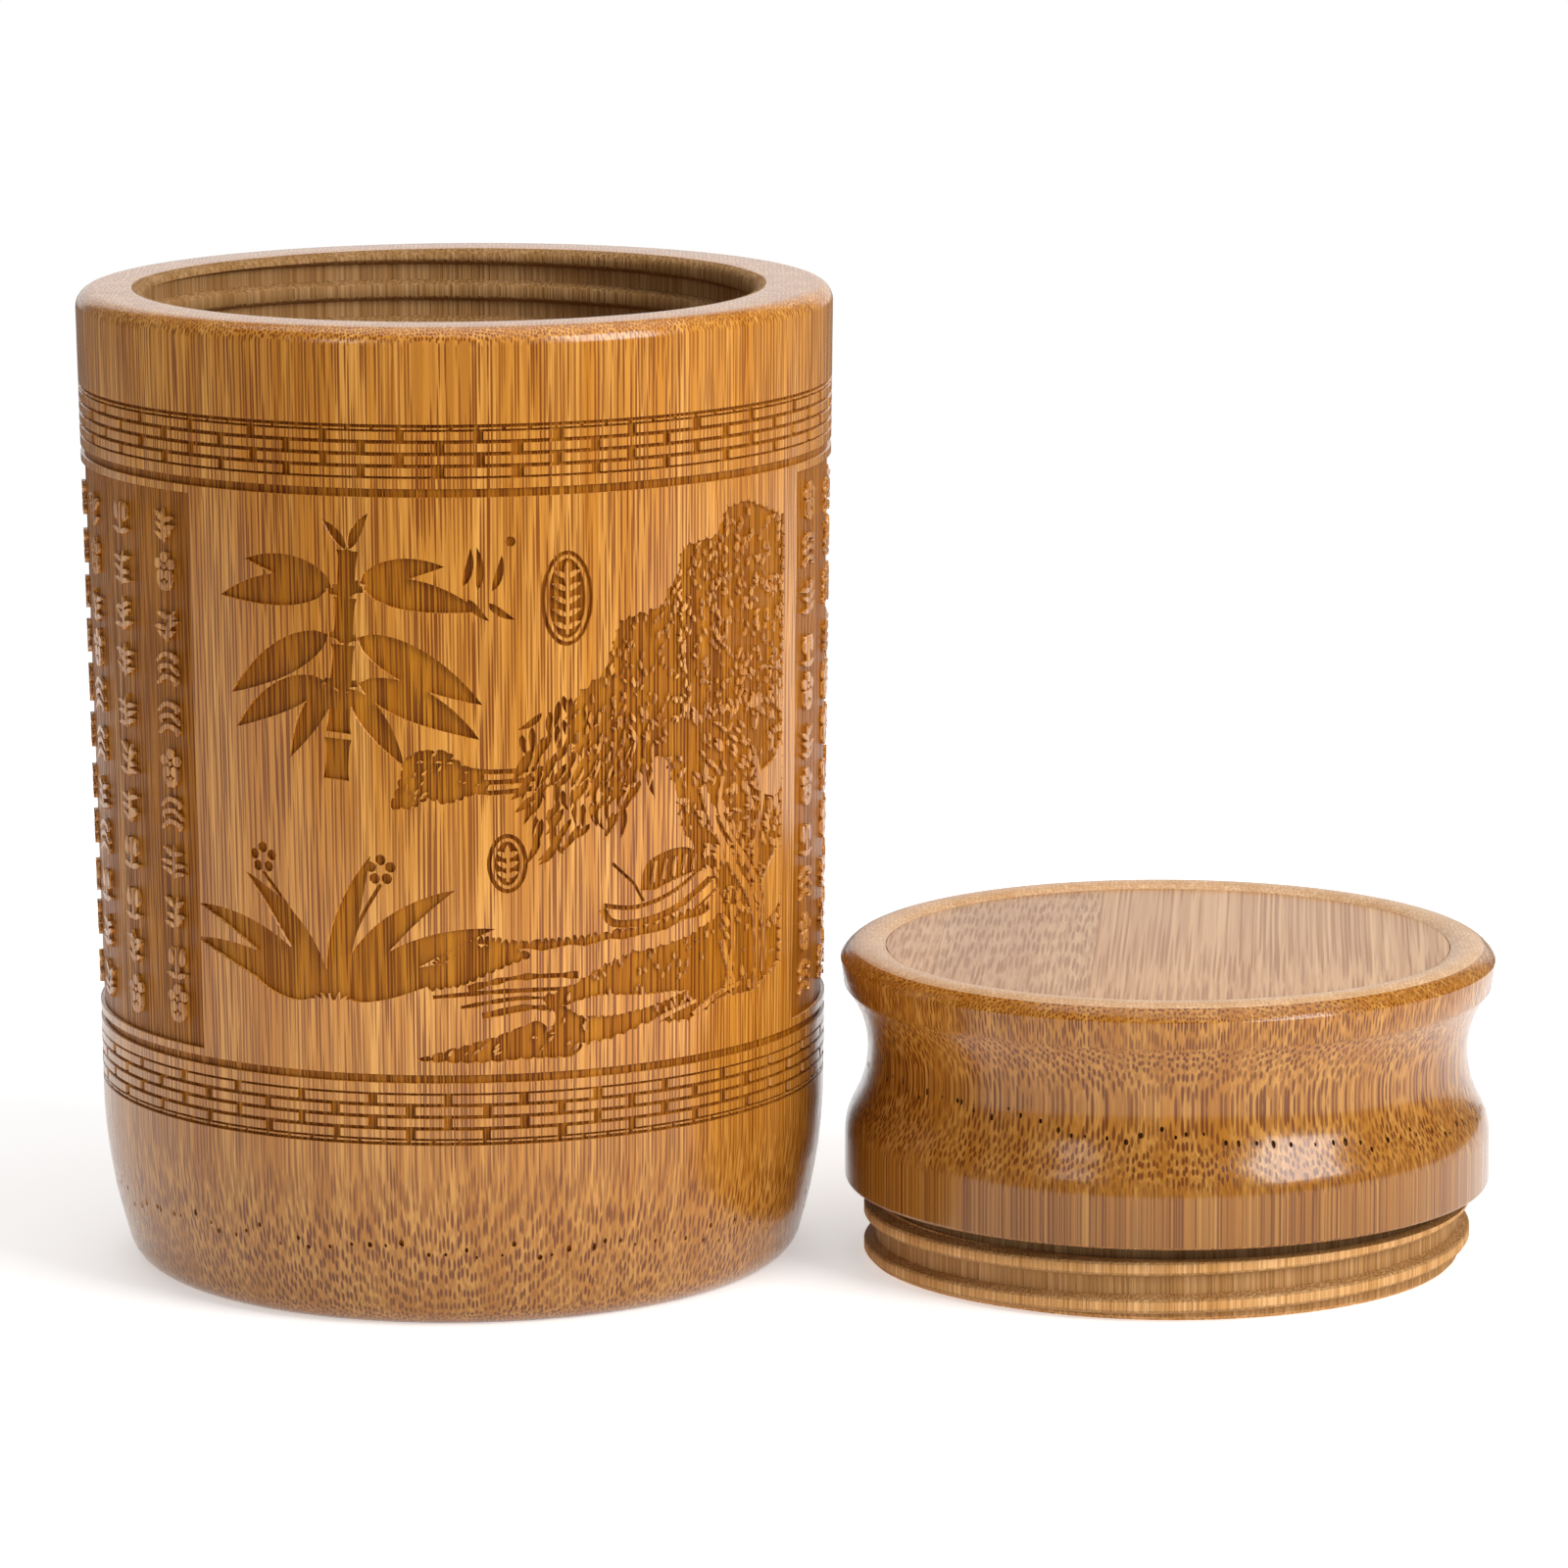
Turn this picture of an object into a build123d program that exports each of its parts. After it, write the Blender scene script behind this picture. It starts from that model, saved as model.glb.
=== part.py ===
"""Turned bamboo brush pot with a screw lid, the lid standing beside the open pot.

The pot is one length of bamboo culm, turned outside and bored, with a base board of five
glued staves let into its foot. The lid is a ring of the same culm, turned to a waist, with
a top board of five glued staves let into it and a screw spigot below. Both threads are
right-handed and cut in the bamboo itself.

Units are millimetres, +Z is up, and the origin is the centre of the pot's foot.
"""

import os
from math import atan, cos, sin

from build123d import *

os.makedirs("parts", exist_ok=True)

# --- Pot: outside ---
POT_HEIGHT = 144.2
RIM_RADIUS = 55.2  # outside, just under the rim's rounding
RIM_ROUNDING = 2.6
FOOT_TOP_RADIUS = 53.4  # where the straight wall starts to curve in to the foot
FOOT_TOP_Z = 28.0
FOOT_MID_RADIUS = 52.4
FOOT_MID_Z = 14.6
FOOT_LOW_RADIUS = 50.0
FOOT_LOW_Z = 4.2
FOOT_EDGE_RADIUS = 48.6
FOOT_EDGE_Z = 1.4
FOOT_RING_RADIUS = 46.4  # outer edge of the flat that the pot stands on

# --- Pot: inside ---
BORE_RADIUS = 43.6
BASE_RABBET_RADIUS = 44.8
BASE_BOARD_THICKNESS = 8.0  # its underside is flush with the foot

# --- Engraving on the pot ---
ENGRAVING_DEPTH = 0.55
UPPER_BAND_TOP_Z = 130.8
LOWER_BAND_BOTTOM_Z = 27.6
BAND_HEIGHT = 10.3
BRICK_ROWS = 4
ROW_PITCH = 1.7
BRICK_HEIGHT = 1.14
FIRST_ROW_INSET = 1.05  # band edge to the first row of bricks
STRIP_INSET = 7.65  # band edge to the plain raised strip
STRIP_HEIGHT = 1.4
PANEL_MARGIN = 1.1  # band to recessed panel
PANEL_START_ANGLE = 65.3  # measured round from the front, seen from above
PANEL_END_ANGLE = 318.6

# --- Thread (both halves) ---
THREAD_PITCH = 5.5
POT_GROOVE_RADIUS = 45.3
POT_GROOVE_MOUTH = 3.6
POT_GROOVE_ROOT = 2.2
POT_GROOVE_BACK_Z = 140.65  # height of the groove's middle at the back of the bore
POT_GROOVE_START_TURNS = 2.25  # turns below that point
POT_GROOVE_TURNS = 3.2  # in all, the last part running out through the rim
SPIGOT_RADIUS = 44.9
SPIGOT_CORE_RADIUS = 43.2
SPIGOT_GROOVE_MOUTH = 3.85
SPIGOT_GROOVE_ROOT = 2.5
SPIGOT_GROOVE_FRONT_Z = 5.32  # height of the groove's middle at the front of the spigot
SPIGOT_GROOVE_START_TURNS = 1.75
SPIGOT_GROOVE_TURNS = 3.0
SPIGOT_BLANK_HEIGHT = 22.8  # tall enough for the thread to run out above the shoulder
CUTTER_OVERSHOOT = 0.6

# --- Lid ---
LID_X = 104.2  # the lid's axis, beside the pot
LID_Y = -4.0
SPIGOT_LENGTH = 11.4
NECK_HEIGHT = 2.4  # plain turned neck under the lid's shoulder
NECK_RADIUS = 42.9
SHOULDER_ROUNDING = 0.5
LOW_BAND_RADIUS = 47.7
LOW_BAND_TOP_Z = 18.4
FLARE_CURVE = 9.0  # radius of the convex curve above the lower band
WAIST_RADIUS = 44.3
WAIST_Z = 31.2
TOP_BAND_START_RADIUS = 47.8
TOP_BAND_START_Z = 40.8
TOP_BAND_END_RADIUS = 48.3
TOP_BAND_END_Z = 44.6
CREST_RADIUS = 45.4  # the highest circle of the ring's rounded top
CREST_Z = 46.9
BOARD_RADIUS = 41.6
BOARD_EDGE_Z = 46.2
BOARD_CROWN = 0.4
LID_BOARD_THICKNESS = 8.0
LID_HOLLOW_RADIUS = 38.4
LID_HEIGHT = 47.05  # over its crest

# --- Staves ---
STAVE_COUNT = 5
STAVE_WIDTH = 23.0
BASE_STAVE_SHIFT = 0.0
LID_STAVE_SHIFT = 1.0
LID_STAVE_TURN = -4.0  # degrees round the lid's axis: the screw stops where it stops
GLUE_GAP = 0.05  # all round a board, in its rabbet

# --- Derived ---
WALL_SLOPE = (RIM_RADIUS - FOOT_TOP_RADIUS) / (POT_HEIGHT - FOOT_TOP_Z)
FLARE_ANGLE = 2 * atan((LOW_BAND_RADIUS - WAIST_RADIUS) / (WAIST_Z - LOW_BAND_TOP_Z))
FLARE_END_RADIUS = LOW_BAND_RADIUS - FLARE_CURVE * (1 - cos(FLARE_ANGLE))
FLARE_END_Z = LOW_BAND_TOP_Z + FLARE_CURVE * sin(FLARE_ANGLE)
LID_BOARD_SEAT_Z = BOARD_EDGE_Z - LID_BOARD_THICKNESS
FRONT = -90.0  # the front's direction, in degrees round from +X


def wall_radius(z):
    """Outside radius of the pot's tapered wall at height z."""
    return FOOT_TOP_RADIUS + WALL_SLOPE * (z - FOOT_TOP_Z)


def band_rings():
    """Offsets (start, end) of a band's recessed rings from the band's outer edge."""
    rings = [(0.0, FIRST_ROW_INSET)]
    for row in range(1, BRICK_ROWS):
        row_start = FIRST_ROW_INSET + row * ROW_PITCH
        rings.append((row_start - (ROW_PITCH - BRICK_HEIGHT), row_start))
    last_row_end = FIRST_ROW_INSET + (BRICK_ROWS - 1) * ROW_PITCH + BRICK_HEIGHT
    rings.append((last_row_end, STRIP_INSET))
    rings.append((STRIP_INSET + STRIP_HEIGHT, BAND_HEIGHT))
    return rings


def recess_corners(low_z, high_z):
    """Corners of a recess cut square into the tapered wall, from low_z to high_z."""
    return [
        (wall_radius(low_z) - ENGRAVING_DEPTH, low_z),
        (wall_radius(low_z) + ENGRAVING_DEPTH, low_z),
        (wall_radius(high_z) + ENGRAVING_DEPTH, high_z),
        (wall_radius(high_z) - ENGRAVING_DEPTH, high_z),
    ]


def groove_corners(surface, root, mouth_width, root_width, overshoot):
    """Corners of a thread groove's section, its flanks carried on past the surface."""
    flank_slope = (mouth_width - root_width) / 2 / abs(surface - root)
    outer_half_width = mouth_width / 2 + flank_slope * abs(overshoot)
    return [
        (surface + overshoot, -outer_half_width),
        (root, -root_width / 2),
        (root, root_width / 2),
        (surface + overshoot, outer_half_width),
    ]


# --- Cutter for the pot's internal thread: a trapezoid carried up a right-handed helix ---
# The helix starts on +X, so the start height is set a quarter turn before the back (+Y).
pot_groove_start_z = POT_GROOVE_BACK_Z - POT_GROOVE_START_TURNS * THREAD_PITCH
with BuildPart() as pot_groove:
    with BuildLine() as pot_helix:
        Helix(
            pitch=THREAD_PITCH,
            height=POT_GROOVE_TURNS * THREAD_PITCH,
            radius=BORE_RADIUS,
            center=(0, 0, pot_groove_start_z),
        )
    with BuildSketch(Plane(origin=(0, 0, pot_groove_start_z), x_dir=(1, 0, 0), z_dir=(0, -1, 0))):
        with BuildLine():
            Polyline(
                *groove_corners(
                    BORE_RADIUS, POT_GROOVE_RADIUS, POT_GROOVE_MOUTH, POT_GROOVE_ROOT, -CUTTER_OVERSHOOT
                ),
                close=True,
            )
        make_face()
    sweep(path=pot_helix.line, is_frenet=True)

# --- Cutter for the lid's external thread ---
# The front (-Y) is three quarters of a turn after +X.
spigot_groove_start_z = SPIGOT_GROOVE_FRONT_Z - SPIGOT_GROOVE_START_TURNS * THREAD_PITCH
with BuildPart() as spigot_groove:
    with BuildLine() as spigot_helix:
        Helix(
            pitch=THREAD_PITCH,
            height=SPIGOT_GROOVE_TURNS * THREAD_PITCH,
            radius=SPIGOT_RADIUS,
            center=(0, 0, spigot_groove_start_z),
        )
    with BuildSketch(Plane(origin=(0, 0, spigot_groove_start_z), x_dir=(1, 0, 0), z_dir=(0, -1, 0))):
        with BuildLine():
            Polyline(
                *groove_corners(
                    SPIGOT_RADIUS,
                    SPIGOT_CORE_RADIUS,
                    SPIGOT_GROOVE_MOUTH,
                    SPIGOT_GROOVE_ROOT,
                    CUTTER_OVERSHOOT,
                ),
                close=True,
            )
        make_face()
    sweep(path=spigot_helix.line, is_frenet=True)

# --- Pot wall: the turned and bored culm, engraved and threaded ---
panel_low_z = LOWER_BAND_BOTTOM_Z + BAND_HEIGHT + PANEL_MARGIN
panel_high_z = UPPER_BAND_TOP_Z - BAND_HEIGHT - PANEL_MARGIN
panel_plane = Plane(
    origin=(0, 0, 0),
    x_dir=Vector(1, 0, 0).rotate(Axis.Z, FRONT + PANEL_START_ANGLE),
    z_dir=Vector(0, -1, 0).rotate(Axis.Z, FRONT + PANEL_START_ANGLE),
)
with BuildPart() as pot_wall:
    with BuildSketch(Plane.XZ):
        with BuildLine():
            Line((BASE_RABBET_RADIUS, 0), (FOOT_RING_RADIUS, 0))
            ThreePointArc(
                (FOOT_RING_RADIUS, 0), (FOOT_EDGE_RADIUS, FOOT_EDGE_Z), (FOOT_LOW_RADIUS, FOOT_LOW_Z)
            )
            ThreePointArc(
                (FOOT_LOW_RADIUS, FOOT_LOW_Z), (FOOT_MID_RADIUS, FOOT_MID_Z), (FOOT_TOP_RADIUS, FOOT_TOP_Z)
            )
            Line((FOOT_TOP_RADIUS, FOOT_TOP_Z), (RIM_RADIUS, POT_HEIGHT))
            Line((RIM_RADIUS, POT_HEIGHT), (BORE_RADIUS, POT_HEIGHT))
            Line((BORE_RADIUS, POT_HEIGHT), (BORE_RADIUS, BASE_BOARD_THICKNESS))
            Line((BORE_RADIUS, BASE_BOARD_THICKNESS), (BASE_RABBET_RADIUS, BASE_BOARD_THICKNESS))
            Line((BASE_RABBET_RADIUS, BASE_BOARD_THICKNESS), (BASE_RABBET_RADIUS, 0))
        make_face()
    revolve(axis=Axis.Z)
    rim_edges = edges().filter_by(GeomType.CIRCLE).group_by(Axis.Z)[-1].sort_by(SortBy.RADIUS)
    fillet(rim_edges[-1], radius=RIM_ROUNDING)
    for start, end in band_rings():
        with BuildSketch(Plane.XZ):
            with BuildLine():
                Polyline(*recess_corners(UPPER_BAND_TOP_Z - end, UPPER_BAND_TOP_Z - start), close=True)
            make_face()
            with BuildLine():
                Polyline(
                    *recess_corners(LOWER_BAND_BOTTOM_Z + start, LOWER_BAND_BOTTOM_Z + end), close=True
                )
            make_face()
        revolve(axis=Axis.Z, mode=Mode.SUBTRACT)
    with BuildSketch(panel_plane):
        with BuildLine():
            Polyline(*recess_corners(panel_low_z, panel_high_z), close=True)
        make_face()
    revolve(axis=Axis.Z, revolution_arc=PANEL_END_ANGLE - PANEL_START_ANGLE, mode=Mode.SUBTRACT)
    add(pot_groove.part, mode=Mode.SUBTRACT)
pot_wall.part.label = "pot_wall"
export_step(pot_wall.part, "parts/pot_wall.step")

# --- Base board: five staves, let into the foot from below and flush with it ---
base_radius = BASE_RABBET_RADIUS - GLUE_GAP
for index in range(STAVE_COUNT):
    stave_x = (index - (STAVE_COUNT - 1) / 2) * STAVE_WIDTH + BASE_STAVE_SHIFT
    with BuildPart() as base_stave:
        with BuildSketch():
            Circle(base_radius)
            with Locations((stave_x, 0)):
                Rectangle(STAVE_WIDTH, 2 * base_radius, mode=Mode.INTERSECT)
        extrude(amount=BASE_BOARD_THICKNESS)
    base_stave.part.label = f"base_stave_{index + 1}"
    export_step(base_stave.part, f"parts/base_stave_{index + 1}.step")

# --- Lid ring: waisted culm ring with a threaded spigot, hollow below, rabbeted above ---
lid_plane = Plane(origin=(LID_X, LID_Y, 0), x_dir=(1, 0, 0), z_dir=(0, -1, 0))
lid_axis = Axis((LID_X, LID_Y, 0), (0, 0, 1))
neck_low_z = SPIGOT_LENGTH - NECK_HEIGHT
with BuildPart() as lid_ring:
    with BuildSketch(lid_plane):
        with BuildLine():
            Polyline(
                (LID_HOLLOW_RADIUS, 0),
                (SPIGOT_RADIUS, 0),
                (SPIGOT_RADIUS, SPIGOT_BLANK_HEIGHT),
                (LID_HOLLOW_RADIUS, SPIGOT_BLANK_HEIGHT),
                close=True,
            )
        make_face()
    revolve(axis=lid_axis)
    with Locations((LID_X, LID_Y, 0)):
        add(spigot_groove.part, mode=Mode.SUBTRACT)
    with BuildSketch(lid_plane):
        with BuildLine():
            Polyline(
                (0, neck_low_z),
                (LOW_BAND_RADIUS, neck_low_z),
                (LOW_BAND_RADIUS, LID_HEIGHT),
                (0, LID_HEIGHT),
                close=True,
            )
        make_face()
    revolve(axis=lid_axis, mode=Mode.SUBTRACT)
    with BuildSketch(lid_plane):
        with BuildLine():
            Polyline(
                (LID_HOLLOW_RADIUS, neck_low_z),
                (NECK_RADIUS, neck_low_z),
                (NECK_RADIUS, SPIGOT_LENGTH),
                (LOW_BAND_RADIUS, SPIGOT_LENGTH),
            )
            low_band = Line((LOW_BAND_RADIUS, SPIGOT_LENGTH), (LOW_BAND_RADIUS, LOW_BAND_TOP_Z))
            flare = TangentArc(low_band @ 1, (FLARE_END_RADIUS, FLARE_END_Z), tangent=low_band % 1)
            TangentArc(flare @ 1, (WAIST_RADIUS, WAIST_Z), tangent=flare % 1)
            TangentArc(
                (WAIST_RADIUS, WAIST_Z), (TOP_BAND_START_RADIUS, TOP_BAND_START_Z), tangent=(0, 1)
            )
            Line((TOP_BAND_START_RADIUS, TOP_BAND_START_Z), (TOP_BAND_END_RADIUS, TOP_BAND_END_Z))
            ThreePointArc(
                (TOP_BAND_END_RADIUS, TOP_BAND_END_Z),
                (CREST_RADIUS, CREST_Z),
                (BOARD_RADIUS, BOARD_EDGE_Z),
            )
            Line((BOARD_RADIUS, BOARD_EDGE_Z), (BOARD_RADIUS, LID_BOARD_SEAT_Z))
            Line((BOARD_RADIUS, LID_BOARD_SEAT_Z), (LID_HOLLOW_RADIUS, LID_BOARD_SEAT_Z))
            Line((LID_HOLLOW_RADIUS, LID_BOARD_SEAT_Z), (LID_HOLLOW_RADIUS, neck_low_z))
        make_face()
    revolve(axis=lid_axis)
    shoulder_edges = edges().filter_by(GeomType.CIRCLE).filter_by_position(
        Axis.Z, SPIGOT_LENGTH - GLUE_GAP, SPIGOT_LENGTH + GLUE_GAP
    )
    fillet(shoulder_edges.sort_by(SortBy.RADIUS)[-1], radius=SHOULDER_ROUNDING)
lid_ring.part.label = "lid_ring"
export_step(lid_ring.part, "parts/lid_ring.step")

# --- Lid board: five staves with a slightly crowned top, let into the ring from above ---
lid_board_radius = BOARD_RADIUS - GLUE_GAP
for index in range(STAVE_COUNT):
    stave_x = (index - (STAVE_COUNT - 1) / 2) * STAVE_WIDTH + LID_STAVE_SHIFT
    with BuildPart() as lid_stave:
        with BuildSketch(lid_plane):
            with BuildLine():
                Line((0, LID_BOARD_SEAT_Z), (lid_board_radius, LID_BOARD_SEAT_Z))
                Line((lid_board_radius, LID_BOARD_SEAT_Z), (lid_board_radius, BOARD_EDGE_Z))
                TangentArc(
                    (0, BOARD_EDGE_Z + BOARD_CROWN), (lid_board_radius, BOARD_EDGE_Z), tangent=(1, 0)
                )
                Line((0, BOARD_EDGE_Z + BOARD_CROWN), (0, LID_BOARD_SEAT_Z))
            make_face()
        revolve(axis=lid_axis)
        with Locations(Location((LID_X, LID_Y, BOARD_EDGE_Z), (0, 0, LID_STAVE_TURN))):
            with Locations((stave_x, 0, 0)):
                Box(STAVE_WIDTH, 2 * LOW_BAND_RADIUS, LID_HEIGHT, mode=Mode.INTERSECT)
    lid_stave.part.label = f"lid_stave_{index + 1}"
    export_step(lid_stave.part, f"parts/lid_stave_{index + 1}.step")
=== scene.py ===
import math
import random

import bpy
import numpy as np
from mathutils import Matrix, Vector
from mathutils.geometry import delaunay_2d_cdt


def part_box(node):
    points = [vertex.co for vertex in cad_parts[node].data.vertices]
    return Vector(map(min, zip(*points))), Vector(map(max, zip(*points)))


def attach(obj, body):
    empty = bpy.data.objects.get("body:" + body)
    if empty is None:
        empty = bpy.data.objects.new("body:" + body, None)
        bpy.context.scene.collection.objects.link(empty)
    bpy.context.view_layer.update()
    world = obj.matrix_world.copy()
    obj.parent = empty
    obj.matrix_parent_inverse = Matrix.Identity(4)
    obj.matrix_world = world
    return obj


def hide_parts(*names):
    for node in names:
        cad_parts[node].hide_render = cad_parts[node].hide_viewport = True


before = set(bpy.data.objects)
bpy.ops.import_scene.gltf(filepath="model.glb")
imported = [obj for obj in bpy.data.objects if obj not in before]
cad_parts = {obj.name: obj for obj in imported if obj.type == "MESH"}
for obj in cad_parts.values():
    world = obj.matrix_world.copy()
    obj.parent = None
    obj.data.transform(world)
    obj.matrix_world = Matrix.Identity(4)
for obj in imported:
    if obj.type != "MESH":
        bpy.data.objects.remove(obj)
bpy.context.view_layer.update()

# Every length below is in millimetres until a mesh is written, which turns it into metres.
MM = 0.001

# ---- Sizes from the frame ----


def box_mm(node):
    """Lowest and highest corners of a CAD node, in millimetres."""
    low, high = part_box(node)
    return [value / MM for value in low], [value / MM for value in high]


POT_LOW, POT_HIGH = box_mm("pot_wall")
LID_LOW, LID_HIGH = box_mm("lid_ring")
POT_HEIGHT = POT_HIGH[2]
POT_WIDEST = (POT_HIGH[0] - POT_LOW[0]) / 2
LID_X = (LID_LOW[0] + LID_HIGH[0]) / 2
LID_Y = (LID_LOW[1] + LID_HIGH[1]) / 2
TOP_BAND_END_RADIUS = (LID_HIGH[0] - LID_LOW[0]) / 2
BASE_BOARD_TOP = box_mm("base_stave_3")[1][2]

# The pot's outline, as in the CAD model.
FOOT_TOP_RADIUS = 53.4
FOOT_TOP_Z = 28.0
WALL_SLOPE = (POT_WIDEST + 0.04 - FOOT_TOP_RADIUS) / (POT_HEIGHT - FOOT_TOP_Z)
FOOT_MID_RADIUS = 52.4
FOOT_MID_Z = 14.6
FOOT_LOW_RADIUS = 50.0
FOOT_LOW_Z = 4.2
FOOT_EDGE_RADIUS = 48.6
FOOT_EDGE_Z = 1.4
FOOT_RING_RADIUS = 46.4
BASE_RABBET_RADIUS = 44.8
RIM_ROUNDING = 2.6
MOUTH_WIDTH = 1.7
MOUTH_DEPTH = 1.2
BORE_RADIUS = 43.6
RIM_FLAT_END = 4.6  # the rim's flat ends this far outside the bore

# The rings of root pits: mean height, half the slant, where it turns, how many, how large.
POT_PITS = (10.5, 2.4, 2.4, 120, 0.42)
LID_PITS = (26.6, 3.78, 0.1, 110, 0.4)

# Its engraving.
ENGRAVING_DEPTH = 0.6
UPPER_BAND_TOP_Z = 130.8
LOWER_BAND_BOTTOM_Z = 27.6
BAND_HEIGHT = 10.3
BRICK_ROWS = 4
BRICKS_ROUND = 31
BRICK_GAP = 1.35
ROW_PITCH = 1.7
BRICK_HEIGHT = 1.14
FIRST_ROW_INSET = 1.05
THREAD_LINE_INSET = 0.5
THREAD_LINE_HEIGHT = 0.2
STRIP_INSET = 7.65
STRIP_HEIGHT = 1.4
PANEL_MARGIN = 1.1
PANEL_START_ANGLE = 65.3
PANEL_END_ANGLE = 318.6
SEAM_MARGIN = 3.4  # no ornament is nearer than this to the seam at the back
PICTURE_END_ANGLE = 61.4
PICTURE_SINK = 2.2  # the picture is drawn above a line this far under the foot
UNROLLED_RADIUS = 54.0  # the radius at which the drawing's s is measured along the wall

# Threads.
THREAD_PITCH = 5.5
POT_GROOVE_RADIUS = 45.3
POT_GROOVE_MOUTH = 3.6
POT_GROOVE_ROOT = 2.2
POT_GROOVE_BACK_Z = 140.65
SPIGOT_RADIUS = 44.9
SPIGOT_CORE_RADIUS = 43.2
SPIGOT_GROOVE_MOUTH = 3.85
SPIGOT_GROOVE_ROOT = 2.5
SPIGOT_GROOVE_FRONT_Z = 5.32
THREAD_COLUMNS = 180
THREAD_EDGE_EASE = 0.22
BORE_THREAD_LOW_Z = 124.2  # the mesh's thread is cut level here
BORE_THREAD_START_Z = 125.4  # the groove fades in from here
BORE_THREAD_FULL_Z = 129.2  # and has its whole depth from here

# The lid's outline.
SPIGOT_LENGTH = 11.4
NECK_HEIGHT = 2.4
NECK_RADIUS = 42.9
LOW_BAND_RADIUS = 47.7
LOW_BAND_TOP_Z = 18.4
FLARE_CURVE = 9.0
WAIST_RADIUS = 44.3
WAIST_Z = 31.2
TOP_BAND_START_RADIUS = 47.8
TOP_BAND_START_Z = 40.8
TOP_BAND_END_Z = 44.6
CREST_RADIUS = 45.4
CREST_Z = 46.9
BOARD_RADIUS = 41.6
BOARD_EDGE_Z = 46.2
BOARD_CROWN = 0.4
LID_HOLLOW_RADIUS = 38.4
LID_BOARD_SEAT_Z = BOARD_EDGE_Z - 8.0
STAVE_COUNT = 5
STAVE_WIDTH = 23.0
LID_STAVE_SHIFT = 1.0
LID_STAVE_TURN = -4.0
LEANING_STAVES = 2  # the fibres of the first staves lean, and surface as teardrops
LEANING_STAVE_TILT = -3.5
OTHER_STAVE_TILT = 0.6
BOARD_BUNDLE_SPACING = 0.7
STAVE_EDGE_EASE = 0.05
STAVE_TIP_GAP = 0.1
BOARD_GLUE_LINE = 0.02
LID_PIT_DEPTH = 0.45
SPIGOT_END_EASE = 0.5  # the spigot's end is chamfered this far in
SPIGOT_END_Z = 0.55  # and this far up

# The finishes of the culms' faces, as places in the pieces' lists of materials. NECK is painted shade; ROUGH
# is darker, partly for torn fibres and partly as painted shade.
VARNISHED, ENGRAVED, BARE, ROUGH, NECK, CROWN = range(6)

rng = random.Random(20)


def polar(radius, angle):
    """The x and y of a point at an angle round the Z axis."""
    return radius * math.cos(angle), radius * math.sin(angle)


def add_object(name, data):
    """A new object in the scene."""
    made = bpy.data.objects.new(name, data)
    bpy.context.scene.collection.objects.link(made)
    return made


# ---- Camera, floor and light ----


def place_camera():
    """A long lens about 1.1 m away, a little above the pair, with the horizon a hair off level."""
    camera_data = bpy.data.cameras.new("camera")
    camera_data.sensor_width = 36.0
    camera_data.lens = 173.05
    camera = add_object("camera", camera_data)
    pitch, roll = 0.1825, -0.0043
    camera.matrix_world = (
        Matrix.Translation(Vector((47.7, -1094.0, 271.6)) * MM)
        @ Matrix.Rotation(math.pi / 2 - pitch, 4, "X")
        @ Matrix.Rotation(roll, 4, "Z")
    )
    bpy.context.scene.camera = camera


def light_scene():
    """A studio: a large soft box on the right, a weak one on the left, one above and one behind."""
    aim = Vector((0.05, 0.0, 0.07))
    for name, place, width, height, power in (
        ("softbox_right", (0.85, -0.68, 0.66), 0.6, 0.75, 12.5),
        ("softbox_left", (-0.55, -0.85, 0.6), 0.25, 0.4, 0.9),
        ("softbox_top", (0.1, 0.05, 1.0), 1.3, 1.0, 5.6),
        ("softbox_back", (0.05, 1.2, 0.5), 1.5, 0.9, 3.2),
        ("fill_front", (0.05, -1.5, 0.45), 1.2, 0.8, 1.6),
    ):
        data = bpy.data.lights.new(name, "AREA")
        data.shape = "RECTANGLE"
        data.size, data.size_y, data.energy = width, height, power
        light = add_object(name, data)
        light.location = place
        light.rotation_euler = (aim - Vector(place)).to_track_quat("-Z", "Y").to_euler()
        light.visible_camera = False
        light.visible_glossy = name != "fill_front"
    world = bpy.data.worlds.new("studio")
    n = Nodes(world)
    # The room is dim, but the camera sees it white.
    seen = n.node("ShaderNodeLightPath").outputs["Is Camera Ray"]
    brightness = n.ramp(seen, 0.0, 1.0, 0.17, 1.0, smooth=False)
    n.fill(n.tree.nodes["Background"], {"Color": (1.0, 1.0, 1.0, 1.0), "Strength": brightness})
    bpy.context.scene.world = world
    bpy.context.scene.view_settings.view_transform = "Standard"


def make_floor():
    """A plain white table, ending a little in front of the pot."""
    mesh = bpy.data.meshes.new("floor")
    front, back, side = -0.32, 0.5, 0.7
    corners = [(-side, front, 0.0), (side, front, 0.0), (side, back, 0.0), (-side, back, 0.0)]
    mesh.from_pydata(corners, [], [(0, 1, 2, 3)])
    material = bpy.data.materials.new("white_floor")
    looks = {
        "Base Color": (0.85, 0.85, 0.85, 1.0),
        "Roughness": 0.9,
        "Specular IOR Level": 0.1,
        "Emission Color": (1.0, 1.0, 1.0, 1.0),
        "Emission Strength": 0.46,
    }
    n = Nodes(material)
    n.fill(n.tree.nodes["Principled BSDF"], looks)
    mesh.materials.append(material)
    add_object("floor", mesh)


# ---- Bamboo materials ----


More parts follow.
